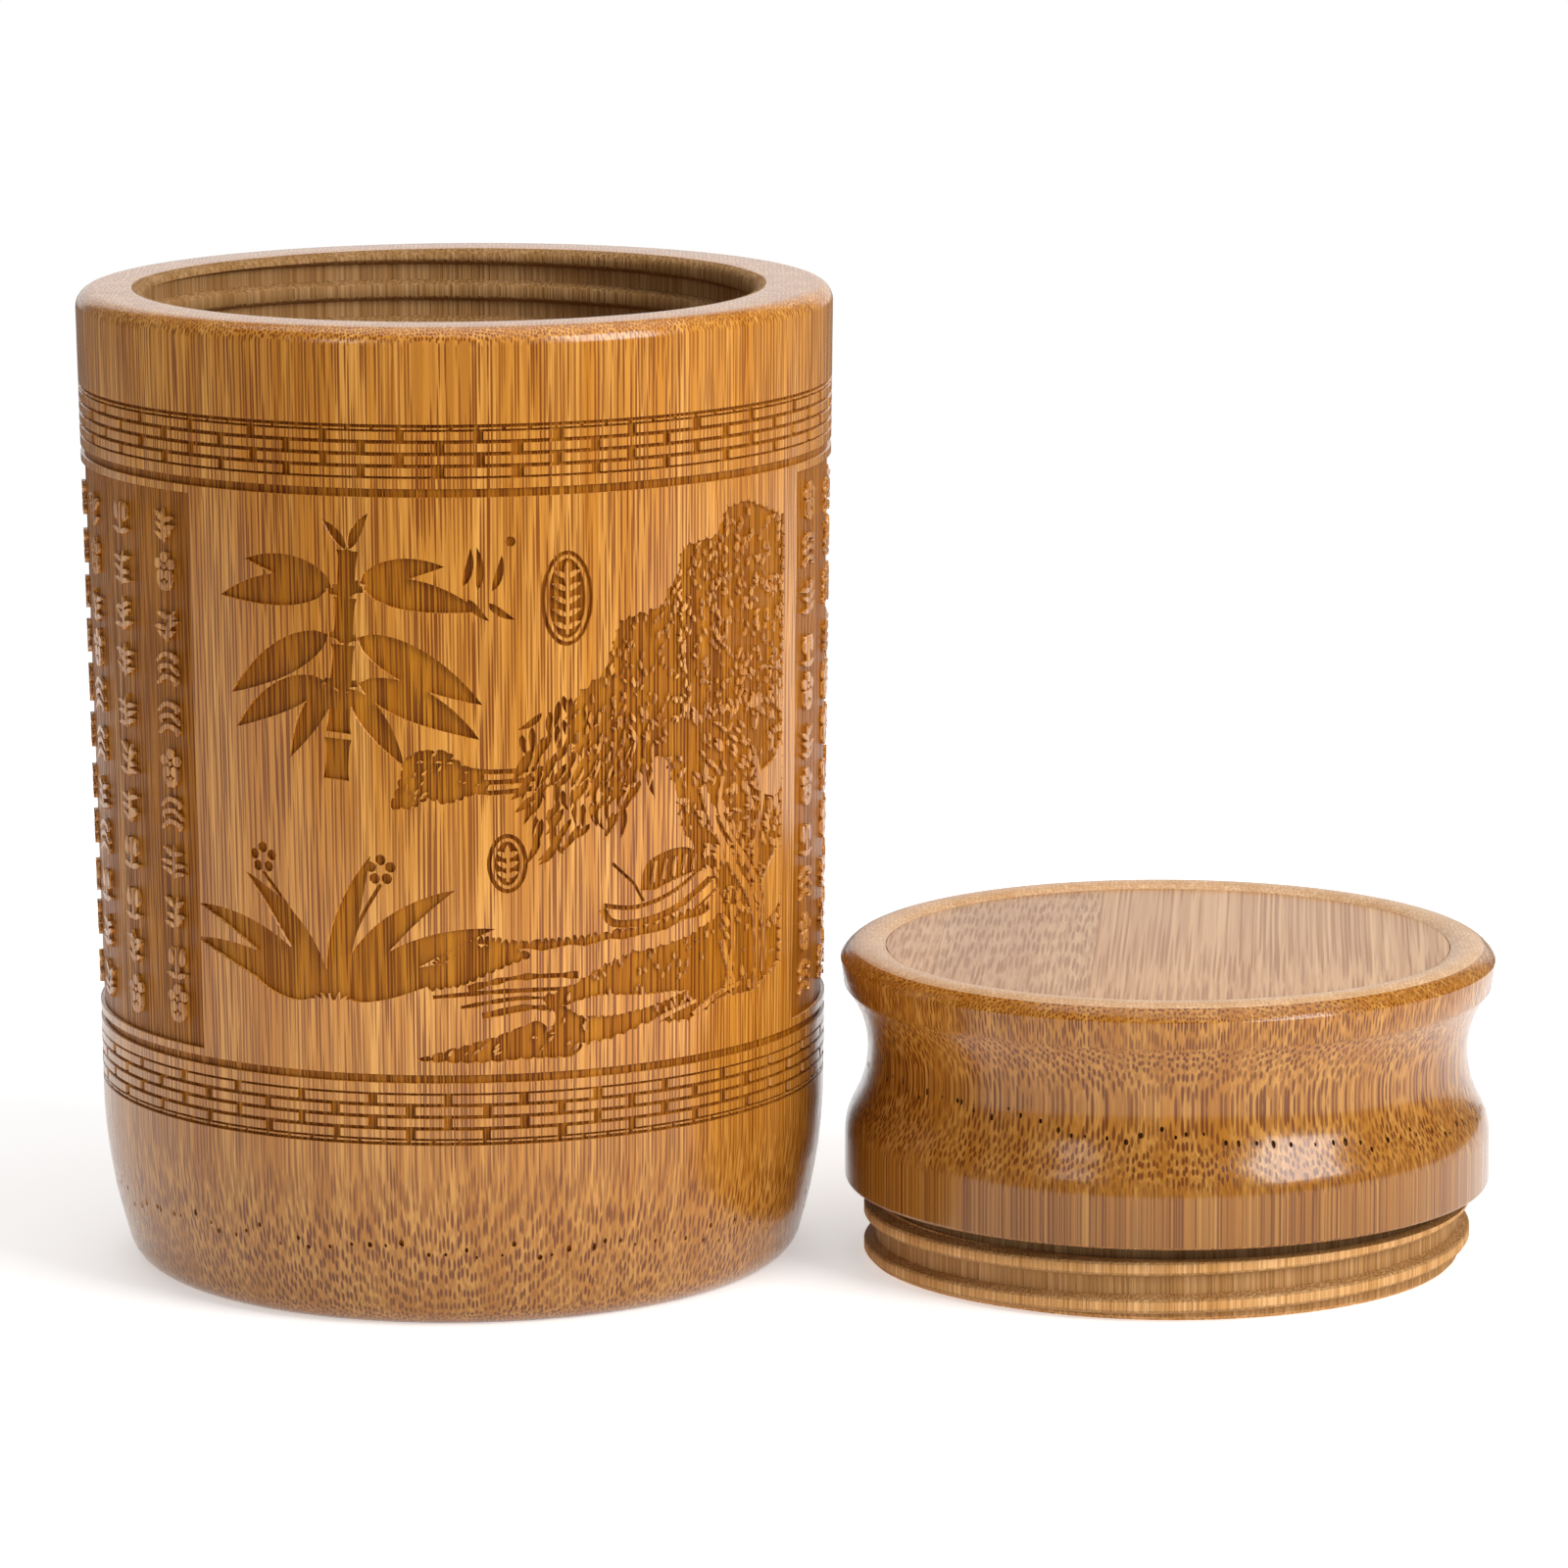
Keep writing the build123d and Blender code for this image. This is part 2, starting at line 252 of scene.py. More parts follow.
class Nodes:
    """Short names for building the node tree of a material or of the world."""

    def __init__(self, holder):
        holder.use_nodes = True
        self.tree = holder.node_tree

    def fill(self, node, inputs):
        """Gives each listed input of a node its value, or a link from an output."""
        for key, source in inputs.items():
            if isinstance(source, (int, float, tuple)):
                node.inputs[key].default_value = source
            else:
                self.tree.links.new(source, node.inputs[key])

    def node(self, kind, inputs=None, **settings):
        made = self.tree.nodes.new(kind)
        for key, value in settings.items():
            setattr(made, key, value)
        self.fill(made, inputs or {})
        return made

    def math(self, operation, a, b):
        return self.node("ShaderNodeMath", {0: a, 1: b}, operation=operation).outputs[0]

    def mix(self, factor, a, b, blend="MIX"):
        inputs = {"Factor": factor, "A": a, "B": b}
        return self.node("ShaderNodeMix", inputs, data_type="RGBA", blend_type=blend).outputs["Result"]

    def ramp(self, value, low, high, to_low=0.0, to_high=1.0, smooth=True):
        inputs = {"Value": value, "From Min": low, "From Max": high, "To Min": to_low, "To Max": to_high}
        kind = "SMOOTHSTEP" if smooth else "LINEAR"
        return self.node("ShaderNodeMapRange", inputs, interpolation_type=kind).outputs["Result"]

    def noise(self, place, scale, detail=2.0, roughness=0.5):
        inputs = {"Vector": place, "Scale": scale, "Detail": detail, "Roughness": roughness}
        return self.node("ShaderNodeTexNoise", inputs).outputs["Fac"]

    def scaled(self, place, scale):
        return self.node("ShaderNodeMapping", {"Vector": place, "Scale": scale}).outputs["Vector"]

    def vector(self, x, y, z=0.0):
        return self.node("ShaderNodeCombineXYZ", {"X": x, "Y": y, "Z": z}).outputs["Vector"]

    def parts(self, place):
        return self.node("ShaderNodeSeparateXYZ", {"Vector": place}).outputs

    def object_place(self):
        return self.node("ShaderNodeTexCoord").outputs["Object"]

    def grain_coordinates(self, axis, turn, shift, tilt=0.0):
        """Object coordinates, tilted about X, turned about Z and shifted, fibres' axis last."""
        turns = (math.radians(tilt), 0.0, math.radians(-turn))
        inputs = {"Vector": self.object_place(), "Location": shift, "Rotation": turns}
        place = self.node("ShaderNodeMapping", inputs).outputs["Vector"]
        if axis == "Z":
            return place
        parts = self.parts(place)
        return self.vector(parts["X"], parts["Z"], parts["Y"])


PALETTES = {
    # light ground, middle ground, fibre bundles
    "varnish": ((0.690, 0.330, 0.072), (0.510, 0.195, 0.020), (0.170, 0.036, 0.001)),
    "engraved": ((0.560, 0.220, 0.016), (0.420, 0.138, 0.006), (0.150, 0.031, 0.001)),
    "bare": ((0.640, 0.370, 0.160), (0.490, 0.250, 0.080), (0.210, 0.080, 0.018)),
    "board": ((0.640, 0.345, 0.120), (0.520, 0.240, 0.062), (0.280, 0.092, 0.012)),
    "crown": ((0.760, 0.490, 0.270), (0.620, 0.370, 0.175), (0.430, 0.205, 0.075)),
}
BUNDLE_STRENGTH = {"varnish": 0.92, "engraved": 0.9, "bare": 0.34, "board": 0.62, "crown": 0.6}
ROUGHNESS = {
    "varnish": (0.17, 0.27), "engraved": (0.3, 0.45), "bare": (0.65, 0.85),
    "board": (0.28, 0.38), "crown": (0.28, 0.38),
}
BUMP = {"varnish": 0.1, "engraved": 0.8, "bare": 0.8, "board": 0.08, "crown": 0.08}
COAT = {"varnish": 0.25, "engraved": 0.0, "bare": 0.0, "board": 0.1, "crown": 0.1}
SPECULAR = {"varnish": 0.38, "engraved": 0.15, "bare": 0.15, "board": 0.38, "crown": 0.38}


def bamboo(name, finish, place=None, tone=1.0, spacing=0.45, inner=None, tilt=0.0, foot_tone_and_shade=None):
    """Bamboo as a solid: fibre bundles are columns that run along the grain.

    A face along the grain shows streaks, a slanting one teardrops and a square cut dots,
    as in the real wood. place is (fibre axis, turn in degrees, shift in metres) of the grain;
    spacing is the bundles' spacing in millimetres; inner, if given, is (centre x, centre y,
    radius, spacing) of the coarser bundles nearer the culm's axis. tilt leans the fibres, in
    degrees. foot_tone_and_shade, if given, is (share, height): the colour darkens towards the foot
    to this share of the colour above that height, in millimetres; partly the culm's own deeper tone, partly
    painted shade at the foot.
    """
    material = bpy.data.materials.new(name)
    n = Nodes(material)
    axis, turn, shift = place or ("Z", 0.0, (0.0, 0.0, 0.0))
    grain_place = n.grain_coordinates(axis, turn, shift, tilt)
    wander = n.noise(n.scaled(grain_place, (1.0, 1.0, 0.25)), 60.0, 1.0)
    sideways = n.vector(n.math("MULTIPLY", wander, 0.0007), n.math("MULTIPLY", wander, -0.0006))
    columns = n.node("ShaderNodeVectorMath", {0: grain_place, 1: sideways}, operation="ADD").outputs[0]
    fine_place = n.scaled(grain_place, (1.0, 1.0, 0.004))

    def bundle_cores(distance_apart):
        inputs = {"Vector": columns, "Scale": 1000.0 / distance_apart, "Randomness": 0.6}
        bundles = n.node("ShaderNodeTexVoronoi", inputs, feature="F1", voronoi_dimensions="2D")
        return n.ramp(bundles.outputs["Distance"], 0.24, 0.4, 1.0, 0.0)

    core = bundle_cores(spacing)
    if inner:
        centre_x, centre_y, radius, coarse_spacing = inner
        from_centre = n.grain_coordinates("Z", 0.0, (-centre_x * MM, -centre_y * MM, 0.0))
        offset = n.scaled(from_centre, (1.0, 1.0, 0.0))
        length = n.node("ShaderNodeVectorMath", {0: offset}, operation="LENGTH").outputs["Value"]
        outward = n.ramp(length, (radius - 0.6) * MM, (radius + 0.6) * MM)
        coarse = n.math("MULTIPLY", bundle_cores(coarse_spacing), n.math("SUBTRACT", 1.0, outward))
        core = n.math("ADD", coarse, n.math("MULTIPLY", core, outward))
    fading = n.ramp(n.noise(n.scaled(grain_place, (1.0, 1.0, 0.03)), 260.0, 1.0), 0.32, 0.6, 0.62, 1.0)
    strand = n.math("MULTIPLY", core, fading)
    hairs = n.ramp(n.noise(fine_place, 2100.0, 2.0, 0.6), 0.38, 0.62)
    broad = n.ramp(n.noise(fine_place, 240.0, 3.0, 0.65), 0.35, 0.66)
    cloud = n.ramp(n.noise(n.scaled(grain_place, (1.0, 1.0, 0.3)), 30.0, 2.0), 0.35, 0.7)
    light, middle, dark = [tuple(tone * value for value in colour) + (1.0,) for colour in PALETTES[finish]]
    ground = n.mix(broad, light, middle)
    ground = n.mix(n.math("MULTIPLY", hairs, 0.55), ground, middle)
    ground = n.mix(n.math("MULTIPLY", cloud, 0.25), ground, middle)
    colour = n.mix(n.math("MULTIPLY", strand, BUNDLE_STRENGTH[finish]), ground, dark)
    colour = n.mix(n.math("MULTIPLY", hairs, 0.3), colour, dark)
    # Painted shade at the foot: the colour darkens linearly towards the bottom, partly the culm's own deeper
    # tone.
    if foot_tone_and_shade:
        share, height = foot_tone_and_shade
        upright = n.parts(n.object_place())["Z"]
        shade = n.ramp(upright, 0.0, height * MM, share, 1.0, smooth=False)
        colour = n.mix(1.0, colour, n.vector(shade, shade, shade), "MULTIPLY")
    grain = n.math("ADD", n.math("MULTIPLY", strand, 0.6), n.math("MULTIPLY", hairs, 0.4))
    relief = {"Strength": BUMP[finish], "Distance": 0.0002, "Height": n.math("SUBTRACT", 1.0, grain)}
    looks = {
        "Base Color": colour,
        "Roughness": n.ramp(grain, 0.0, 1.0, *ROUGHNESS[finish]),
        "Specular IOR Level": SPECULAR[finish],
        "Coat Weight": COAT[finish],
        "Coat Roughness": 0.1,
        "Normal": n.node("ShaderNodeBump", relief).outputs["Normal"],
    }
    n.fill(n.tree.nodes["Principled BSDF"], looks)
    return material


# ---- Drawing for the engraving: closed outlines in (s, z), millimetres on the unrolled wall ----
# A drawing is a list of (level, outline), painted in order: level 0 is the wall's own
# surface and level 1 the engraved floor. Each later outline is painted over the ones before.

RAISED, CUT = 0, 1


def leaf(s, z, length, width, angle, bend=0.0, steps=7):
    """A pointed leaf or brush stroke from (s, z), in the direction angle, with a bent spine."""
    left, right = [], [(s, z)]
    for i in range(1, steps + 1):
        t = i / steps
        turn = math.radians(angle + bend * t)
        s, z = s + math.cos(turn) * length / steps, z + math.sin(turn) * length / steps
        if i < steps:
            half = width / 2 * math.sin(math.pi * t ** 0.75) ** 0.85
            left.append((s - math.sin(turn) * half, z + math.cos(turn) * half))
            right.append((s + math.sin(turn) * half, z - math.cos(turn) * half))
    return right + [(s, z)] + left[::-1]


def strip(points, widths):
    """A band along a line of points, with a width at each point."""
    left, right = [], []
    for i, (s, z) in enumerate(points):
        before = points[max(i - 1, 0)]
        after = points[min(i + 1, len(points) - 1)]
        ds, dz = after[0] - before[0], after[1] - before[1]
        size = math.hypot(ds, dz)
        half = widths[i] / 2
        left.append((s - dz / size * half, z + ds / size * half))
        right.append((s + dz / size * half, z - ds / size * half))
    return right + left[::-1]


def curve(points, steps=6):
    """A smooth line through points (Catmull-Rom)."""
    out = []
    padded = [points[0]] + list(points) + [points[-1]]
    for i in range(1, len(padded) - 2):
        p0, p1, p2, p3 = padded[i - 1 : i + 3]
        for k in range(steps):
            t = k / steps
            point = []
            for a in (0, 1):
                square = 2 * p0[a] - 5 * p1[a] + 4 * p2[a] - p3[a]
                cube = 3 * p1[a] - p0[a] - 3 * p2[a] + p3[a]
                point.append(0.5 * (2 * p1[a] + (p2[a] - p0[a]) * t + square * t * t + cube * t ** 3))
            out.append(tuple(point))
    out.append(points[-1])
    return out


def oval(s, z, half_width, half_height, count=28, wobble=0.0):
    """An oval, its points moved in or out at random by up to the share wobble."""
    return [
        (
            s + math.cos(2 * math.pi * i / count) * half_width * (1 + wobble * rng.uniform(-1, 1)),
            z + math.sin(2 * math.pi * i / count) * half_height * (1 + wobble * rng.uniform(-1, 1)),
        )
        for i in range(count)
    ]


def scalloped(outline, size, depth, closed=True):
    """An outline broken into small bumps, like the edge of a mass of leaves."""
    out = []
    count = len(outline) if closed else len(outline) - 1
    for i in range(count):
        a, b = outline[i], outline[(i + 1) % len(outline)]
        length = math.hypot(b[0] - a[0], b[1] - a[1])
        bumps = max(1, round(length / size))
        ns, nz = (b[1] - a[1]) / length, -(b[0] - a[0]) / length
        for k in range(bumps):
            for part, lift in ((0.0, 0.0), (0.25, 0.8), (0.55, 1.0), (0.85, 0.7)):
                t = (k + part) / bumps
                rise = lift * depth * rng.uniform(0.6, 1.25)
                out.append((a[0] + (b[0] - a[0]) * t + ns * rise, a[1] + (b[1] - a[1]) * t + nz * rise))
    return out


def stroke(points, width, steps=6):
    """A band of one width along a smooth line through points."""
    line = curve(points, steps)
    return strip(line, [width] * len(line))


def bamboo_spray(s, z, height, lean, leaves):
    """The outlines of a jointed bamboo stalk with long leaves.

    leaves are (share of the height, reach to the side, angle, length, bend).
    """
    out = []
    joints = 5
    for k in range(joints):
        low, high = k / joints + 0.012, (k + 1) / joints - 0.012
        points = [(s + lean * t, z + height * t) for t in np.linspace(low, high, 7)]
        swell = [0.55 * abs(2 * i / 6 - 1) ** 4 for i in range(7)]
        widths = [3.5 - 1.0 * k / joints + thicker for thicker in swell]
        out.append(strip(points, widths))
    for share, reach, angle, length, bend in leaves:
        root = (s + lean * share, z + height * share)
        tip = (root[0] + reach * math.cos(math.radians(angle)), root[1] + abs(reach) * 0.45)
        out.append(stroke([root, ((root[0] + tip[0]) / 2, tip[1] - 0.2), tip], 0.95))
        out.append(leaf(*tip, 1.08 * length, 0.29 * length, angle, bend, steps=12))
    return out


def blossom(s, z, size):
    """The outlines of five round petals about a centre."""
    out = []
    for k in range(5):
        turn = math.radians(90 + 72 * k)
        petal_s = s + math.cos(turn) * size * 0.62
        petal_z = z + math.sin(turn) * size * 0.62
        out.append(oval(petal_s, petal_z, size * 0.34, size * 0.34, 9))
    return out


def orchid(s, z, blades, flowers):
    """The outlines of a tuft of arching blades, given as (angle, length, width, bend)."""
    out = []
    for k, (angle, length, width, bend) in enumerate(blades):
        start = s + (k - len(blades) / 2) * 0.9
        out.append(leaf(start, z, length, width, angle, bend, steps=16))
    for flower_s, flower_z in flowers:
        out += blossom(flower_s, flower_z, 2.4)
        middle = ((s + flower_s) / 2, (z + flower_z) / 2 + 1)
        out.append(stroke([(s, z), middle, (flower_s, flower_z - 2)], 0.6))
    return out


def medallion(s, z, half_width, half_height):
    """A sunk oval with a thin raised ring and a raised sprig of paired leaves."""
    out = [(CUT, oval(s, z, half_width, half_height, 34))]
    out.append((RAISED, oval(s, z, half_width - 0.65, half_height - 0.65, 32)))
    out.append((CUT, oval(s, z, half_width - 1.1, half_height - 1.1, 30)))
    stem = half_height - 1.7
    out.append((RAISED, strip([(s, z - stem), (s + 0.1, z), (s, z + stem * 0.7)], [0.4, 0.5, 0.35])))
    pairs = max(3, round(half_height / 1.5))
    for k in range(pairs):
        rise = z - stem + 2 * stem * (k + 0.4) / (pairs + 0.6)
        for side in (-1, 1):
            out.append((RAISED, leaf(s, rise, half_width * 0.62, 0.75, 90 - side * 52, -side * 20, 5)))
    out.append((RAISED, leaf(s, z + stem * 0.35, stem * 0.7, 0.8, 90, 0, 5)))
    return out


def flecks(outline, count, low, high, sizes, level, slant=(60, 120)):
    """Small slivers scattered inside an outline, between heights low and high."""
    out = []
    left = min(p[0] for p in outline)
    right = max(p[0] for p in outline)
    for _ in range(count * 4):
        if len(out) == count:
            break
        point = (rng.uniform(left, right), rng.uniform(low, high))
        if many_inside(np.array([point]), outline)[0]:
            length = rng.uniform(*sizes)
            width = length * rng.uniform(0.24, 0.4)
            out.append((level, leaf(*point, length, width, rng.uniform(*slant), rng.uniform(-40, 40), 4)))
    return out


def hanging_leaves():
    """The fringe of narrow leaves along the crown's lower left edge, column by column."""
    out = []
    edge = (11.0, 14.5, 18.0, 22.0, 26.0, 30.0)
    for column in range(17):
        s = 11.4 + 1.15 * column
        z = float(np.interp(s, edge, (89.5, 92.5, 94.0, 92.0, 88.0, 87.0))) + rng.uniform(-1.0, 1.0)
        low = float(np.interp(s, edge, (79.0, 71.5, 73.5, 75.5, 76.0, 81.0)))
        while z > low:
            length = rng.uniform(3.2, 5.4)
            start = s + rng.uniform(-0.4, 0.4)
            shape = leaf(start, z, length, 1.05, rng.uniform(232, 282), rng.uniform(-45, 45), 7)
            out.append((CUT, shape))
            out.append((RAISED, leaf(start + 0.75, z - 0.6, length * 0.6, 0.4, rng.uniform(245, 275), 0, 5)))
            z -= length * 0.8
    return out


def tree(right):
    """The mass of leaves, its hanging fringe and the two stems, down the picture's right side."""
    crown = [
        (right, 116.5), (53.0, 118.0), (48.7, 119.6), (43.8, 119.2), (41.6, 115.2), (35.4, 114.4),
        (34.5, 110.0), (32.8, 108.3), (32.0, 106.2), (25.2, 104.6), (23.6, 99.8), (22.8, 97.4),
        (19.4, 95.0), (17.6, 92.4), (17.2, 89.0), (19.0, 84.5), (21.5, 80.0), (24.5, 78.5),
        (27.5, 79.5), (28.8, 82.4), (32.2, 84.2), (34.2, 79.0), (35.2, 73.9), (37.7, 69.4),
        (42.0, 64.5), (46.0, 54.0), (right, 52.0),
    ]
    out = [(CUT, scalloped(crown, 1.7, -0.55))]
    out += flecks(crown, 420, 88.0, 117.0, (0.6, 1.6), RAISED)
    out += flecks(crown, 300, 56.0, 90.0, (0.8, 2.4), RAISED, slant=(70, 150))
    out += hanging_leaves()
    edge = right - 0.6
    for gap in (
        [(52.0, 79.5), (55.6, 80.8), (edge, 83.2), (edge, 76.5), (54.5, 75.6), (51.0, 77.0)],
        [(52.5, 63.5), (edge, 68.0), (edge, 60.0), (53.5, 57.5)],
    ):
        out.append((RAISED, curve(gap, 3)))
    for points, width in (
        ([(39.5, 79.0), (42.0, 73.0), (46.0, 66.5), (50.0, 61.0), (51.5, 54.0), (50.8, 47.5)], 1.0),
        ([(43.5, 80.0), (43.0, 75.0), (46.5, 69.5), (50.5, 64.5), (53.2, 57.0), (53.0, 50.0)], 0.7),
        ([(50.5, 82.0), (52.4, 76.0), (51.0, 70.5), (50.8, 65.5)], 0.8),
        ([(45.5, 61.0), (45.8, 55.0), (44.5, 49.0)], 0.6),
    ):
        line = curve(points)
        out.append((RAISED, strip(line, [width * (0.75 + 0.5 * rng.random()) for _ in line])))
    between = [(40, 80), (50, 80), (51, 66), (46, 66)]
    out += flecks(between, 26, 66.0, 80.0, (0.8, 1.8), RAISED, slant=(0, 180))
    return out


def far_bank():
    """A rocky islet with bushes and the water lines running off it."""
    rock = [
        (-7.6, 78.6), (-6.4, 81.5), (-5.4, 85.4), (-3.0, 86.8), (0.6, 86.5), (2.4, 84.6),
        (5.0, 83.8), (6.2, 81.6), (2.8, 80.3), (0.4, 79.4), (-2.4, 80.2), (-4.6, 78.8),
    ]
    out = [(CUT, scalloped(rock, 1.5, -0.4))]
    out += flecks(rock, 24, 79.0, 86.0, (0.6, 1.5), RAISED, slant=(20, 60))
    for height, reach in ((84.4, 15.0), (82.9, 14.0), (81.4, 13.0)):
        end = (reach, height - 0.2 + rng.uniform(-0.3, 0.3))
        out.append((CUT, stroke([(2.0, height), (6.5, height - 0.7), end], 0.75)))
    return out


def boat():
    """A small covered boat, with nobody in it, and its wake."""
    out = []
    for line, width in (
        ([(22.6, 63.2), (24.5, 60.9), (30.0, 60.8), (36.0, 62.6), (44.0, 67.4)], 1.15),  # hull
        ([(22.8, 63.6), (28.0, 62.9), (34.5, 64.6), (43.0, 69.4)], 0.7),  # gunwale
        ([(27.0, 58.9), (33.0, 59.4), (38.5, 61.6), (44.5, 65.4)], 0.5),  # wake
    ):
        out.append((CUT, stroke(line, width)))
    canopy = [
        (28.6, 65.2), (29.6, 68.9), (33.0, 70.5), (36.6, 70.6),
        (39.2, 69.0), (39.8, 67.4), (35.0, 66.2), (31.0, 65.0),
    ]
    out.append((CUT, curve(canopy)))
    for i in range(5):
        s = 30.8 + i * 1.75
        out.append((RAISED, strip([(s, 66.2 + i * 0.25), (s + 0.5, 69.2 + i * 0.12)], [0.42, 0.42])))
    pole = [(24.2, 69.6), (27.6, 66.4), (29.2, 63.6)]
    out.append((CUT, strip(pole, [0.5, 0.5, 0.5])))
    return out


def near_banks(right):
    """The toothed ridge, the near bank and the low bank in front of it."""
    ridge = [(-2.0, 55.0), (-0.5, 57.2), (4.5, 59.6), (10.2, 58.8), (22.0, 59.2), (33.1, 60.2), (41.0, 61.8)]
    ridge_line = curve(ridge)
    lower = [(s, z - 0.9 - 0.3 * math.sin(s)) for s, z in ridge_line]
    out = [(CUT, scalloped(ridge_line, 1.3, -0.75, closed=False) + lower[::-1])]
    bush = [(-2.6, 52.6), (-1.0, 55.6), (3.6, 58.6), (9.0, 58.2), (12.0, 57.2), (7.0, 55.4), (2.0, 53.2)]
    out.append((CUT, scalloped(bush, 1.3, -0.4)))
    for a, b, c, width in (
        ((3.0, 52.6), (10.0, 54.0), (19.0, 53.9), 0.9),
        ((-2.0, 51.4), (8.0, 52.1), (20.0, 52.0), 0.7),
        ((2.0, 49.9), (10.0, 51.0), (17.0, 50.6), 0.6),
        ((5.0, 48.6), (11.0, 49.6), (15.0, 49.3), 0.9),
    ):
        line = curve([a, b, c])
        out.append((CUT, strip(line, [width * (0.6 + 0.7 * rng.random()) for _ in line])))
    bank = [
        (right, 57.0), (47.0, 58.5), (44.5, 61.0), (40.5, 59.4), (36.1, 57.7), (30.0, 56.8),
        (27.4, 56.9), (23.0, 55.4), (17.6, 52.6), (13.0, 51.2), (15.5, 47.6), (12.0, 45.0),
        (17.0, 43.2), (24.0, 44.0), (30.0, 45.6), (37.0, 45.0), (44.0, 47.6), (50.0, 47.2), (right, 50.5),
    ]
    out.append((CUT, scalloped(bank, 1.8, -0.45)))
    clear = [(16.5, 49.6), (22.0, 50.8), (29.0, 50.2), (36.5, 49.8), (31.0, 48.2), (24.0, 47.4), (19.0, 47.9)]
    out.append((RAISED, scalloped(curve(clear, 3), 1.2, 0.25)))
    out += flecks(bank, 80, 44.0, 59.0, (0.6, 1.8), RAISED, slant=(60, 120))
    for points in (
        [(27.0, 44.0), (33.0, 46.6), (38.5, 48.0)],
        [(38.0, 46.0), (43.0, 48.4), (47.5, 49.2)],
        [(43.6, 56.0), (45.2, 51.5), (46.6, 48.6)],
    ):
        line = curve(points)
        out.append((RAISED, strip(line, [0.8 - 0.4 * i / len(line) for i in range(len(line))])))
    low = [
        (-4.4, 42.3), (1.5, 43.9), (7.0, 45.4), (13.0, 47.6), (15.6, 45.2),
        (19.6, 43.6), (18.0, 42.2), (10.5, 42.4), (4.0, 42.0),
    ]
    out.append((CUT, scalloped(low, 1.9, -0.3)))
    out += flecks(low, 16, 42.4, 47.0, (0.6, 1.4), RAISED, slant=(10, 60))
    return out


def picture(right):
    """The picture on the front, between s = -38 and right."""
    leaves = [
        (0.78, 2.6, 178, 16.0, 14), (0.8, 2.2, 150, 13.0, 30), (0.79, 2.6, -2, 15.5, -16),
        (0.82, 2.2, 28, 11.5, -30), (0.6, 2.2, 205, 17.0, 10), (0.59, 2.2, -24, 18.5, -8),
        (0.4, 2.4, 196, 15.0, 22), (0.39, 2.6, -14, 17.5, -20), (0.4, 1.8, 232, 12.0, 12),
        (0.38, 1.8, -50, 12.5, -8), (0.985, 0.6, 72, 5.5, -20), (0.985, 0.6, 118, 5.0, 20),
    ]
    shapes = bamboo_spray(-15.5, 82.0, 33.5, 2.4, leaves)
    blades = [
        (168, 15.0, 2.9, -30), (150, 22.0, 3.9, 22), (128, 24.5, 4.0, 42), (108, 22.0, 3.8, 34),
        (86, 22.0, 3.8, -22), (66, 24.0, 4.0, -42), (44, 24.5, 4.0, -34), (24, 19.0, 3.4, -14),
    ]
    shapes += orchid(-16.5, 50.6, blades, [(-27.2, 70.4), (-9.2, 69.6)])
    loose_leaves = (
        (3.0, 110.2, 62, 5.6), (5.0, 109.6, 74, 6.2), (7.0, 109.4, 58, 5.4),
        (3.6, 108.4, -64, 4.4), (6.4, 107.8, -50, 4.6),
    )
    shapes += [leaf(s, z, length, 1.15, turn, 30, 8) for s, z, turn, length in loose_leaves]
    shapes.append(oval(9.6, 116.4, 0.75, 0.75, 12))
    out = [(CUT, shape) for shape in shapes]
    out += medallion(17.6, 108.0, 3.8, 6.8)
    out += medallion(8.8, 70.5, 2.9, 4.3)
    out += far_bank()
    out += boat()
    out += near_banks(right)
    out += tree(right)
    return out


def column_sign(s, z, width, height):
    """The outlines of one ornament of a column: a sprig, a blossom, a scroll or a pair of buds."""
    kind = rng.choice(("sprig", "sprig", "blossom", "scroll", "buds"))
    out = []
    lean = rng.uniform(-12, 12)
    if kind == "sprig":
        out.append(leaf(s, z - height * 0.45, height * 0.92, 0.7, 90 + lean, rng.uniform(-25, 25), 6))
        for side in (-1, 1):
            for k in range(3):
                rise = z - height * 0.36 + height * 0.26 * k + rng.uniform(-0.2, 0.2)
                turn = 90 - side * rng.uniform(38, 75)
                length = width * rng.uniform(0.4, 0.56)
                out.append(leaf(s, rise, length, 0.75, turn, -side * rng.uniform(0, 40), 5))
    elif kind == "blossom":
        out += blossom(s, z + height * 0.16, width * 0.44)
        out.append(oval(s, z + height * 0.16, 0.35, 0.35, 7))
        for side in (-1, 1):
            out.append(leaf(s, z - height * 0.47, width * 0.5, 0.85, 90 - side * 62, side * 40, 5))
        out.append(strip([(s, z - height * 0.45), (s, z - height * 0.2)], [0.5, 0.4]))
    elif kind == "scroll":
        for k, side in ((0, 1), (1, -1), (2, 1)):
            rise = z + height * (0.3 - 0.3 * k)
            bends = ((-0.45, -0.5), (-0.1, 0.7), (0.34, 0.2), (0.3, -0.5))
            line = curve([(s + side * width * across, rise + up) for across, up in bends], 4)
            last = len(line) - 1
            out.append(strip(line, [0.35 + 0.35 * math.sin(math.pi * i / last) for i in range(len(line))]))
    else:
        for side in (-1, 1):
            bud_s = s + side * width * 0.22
            out.append(leaf(bud_s, z - height * 0.1, height * 0.5, 1.2, 90 - side * 14, side * 20, 6))
            out.append(leaf(s, z - height * 0.44, width * 0.48, 0.8, 90 - side * 58, -side * 25, 5))
        out.append(strip([(s, z - height * 0.44), (s, z + height * 0.4)], [0.5, 0.4]))
    return out


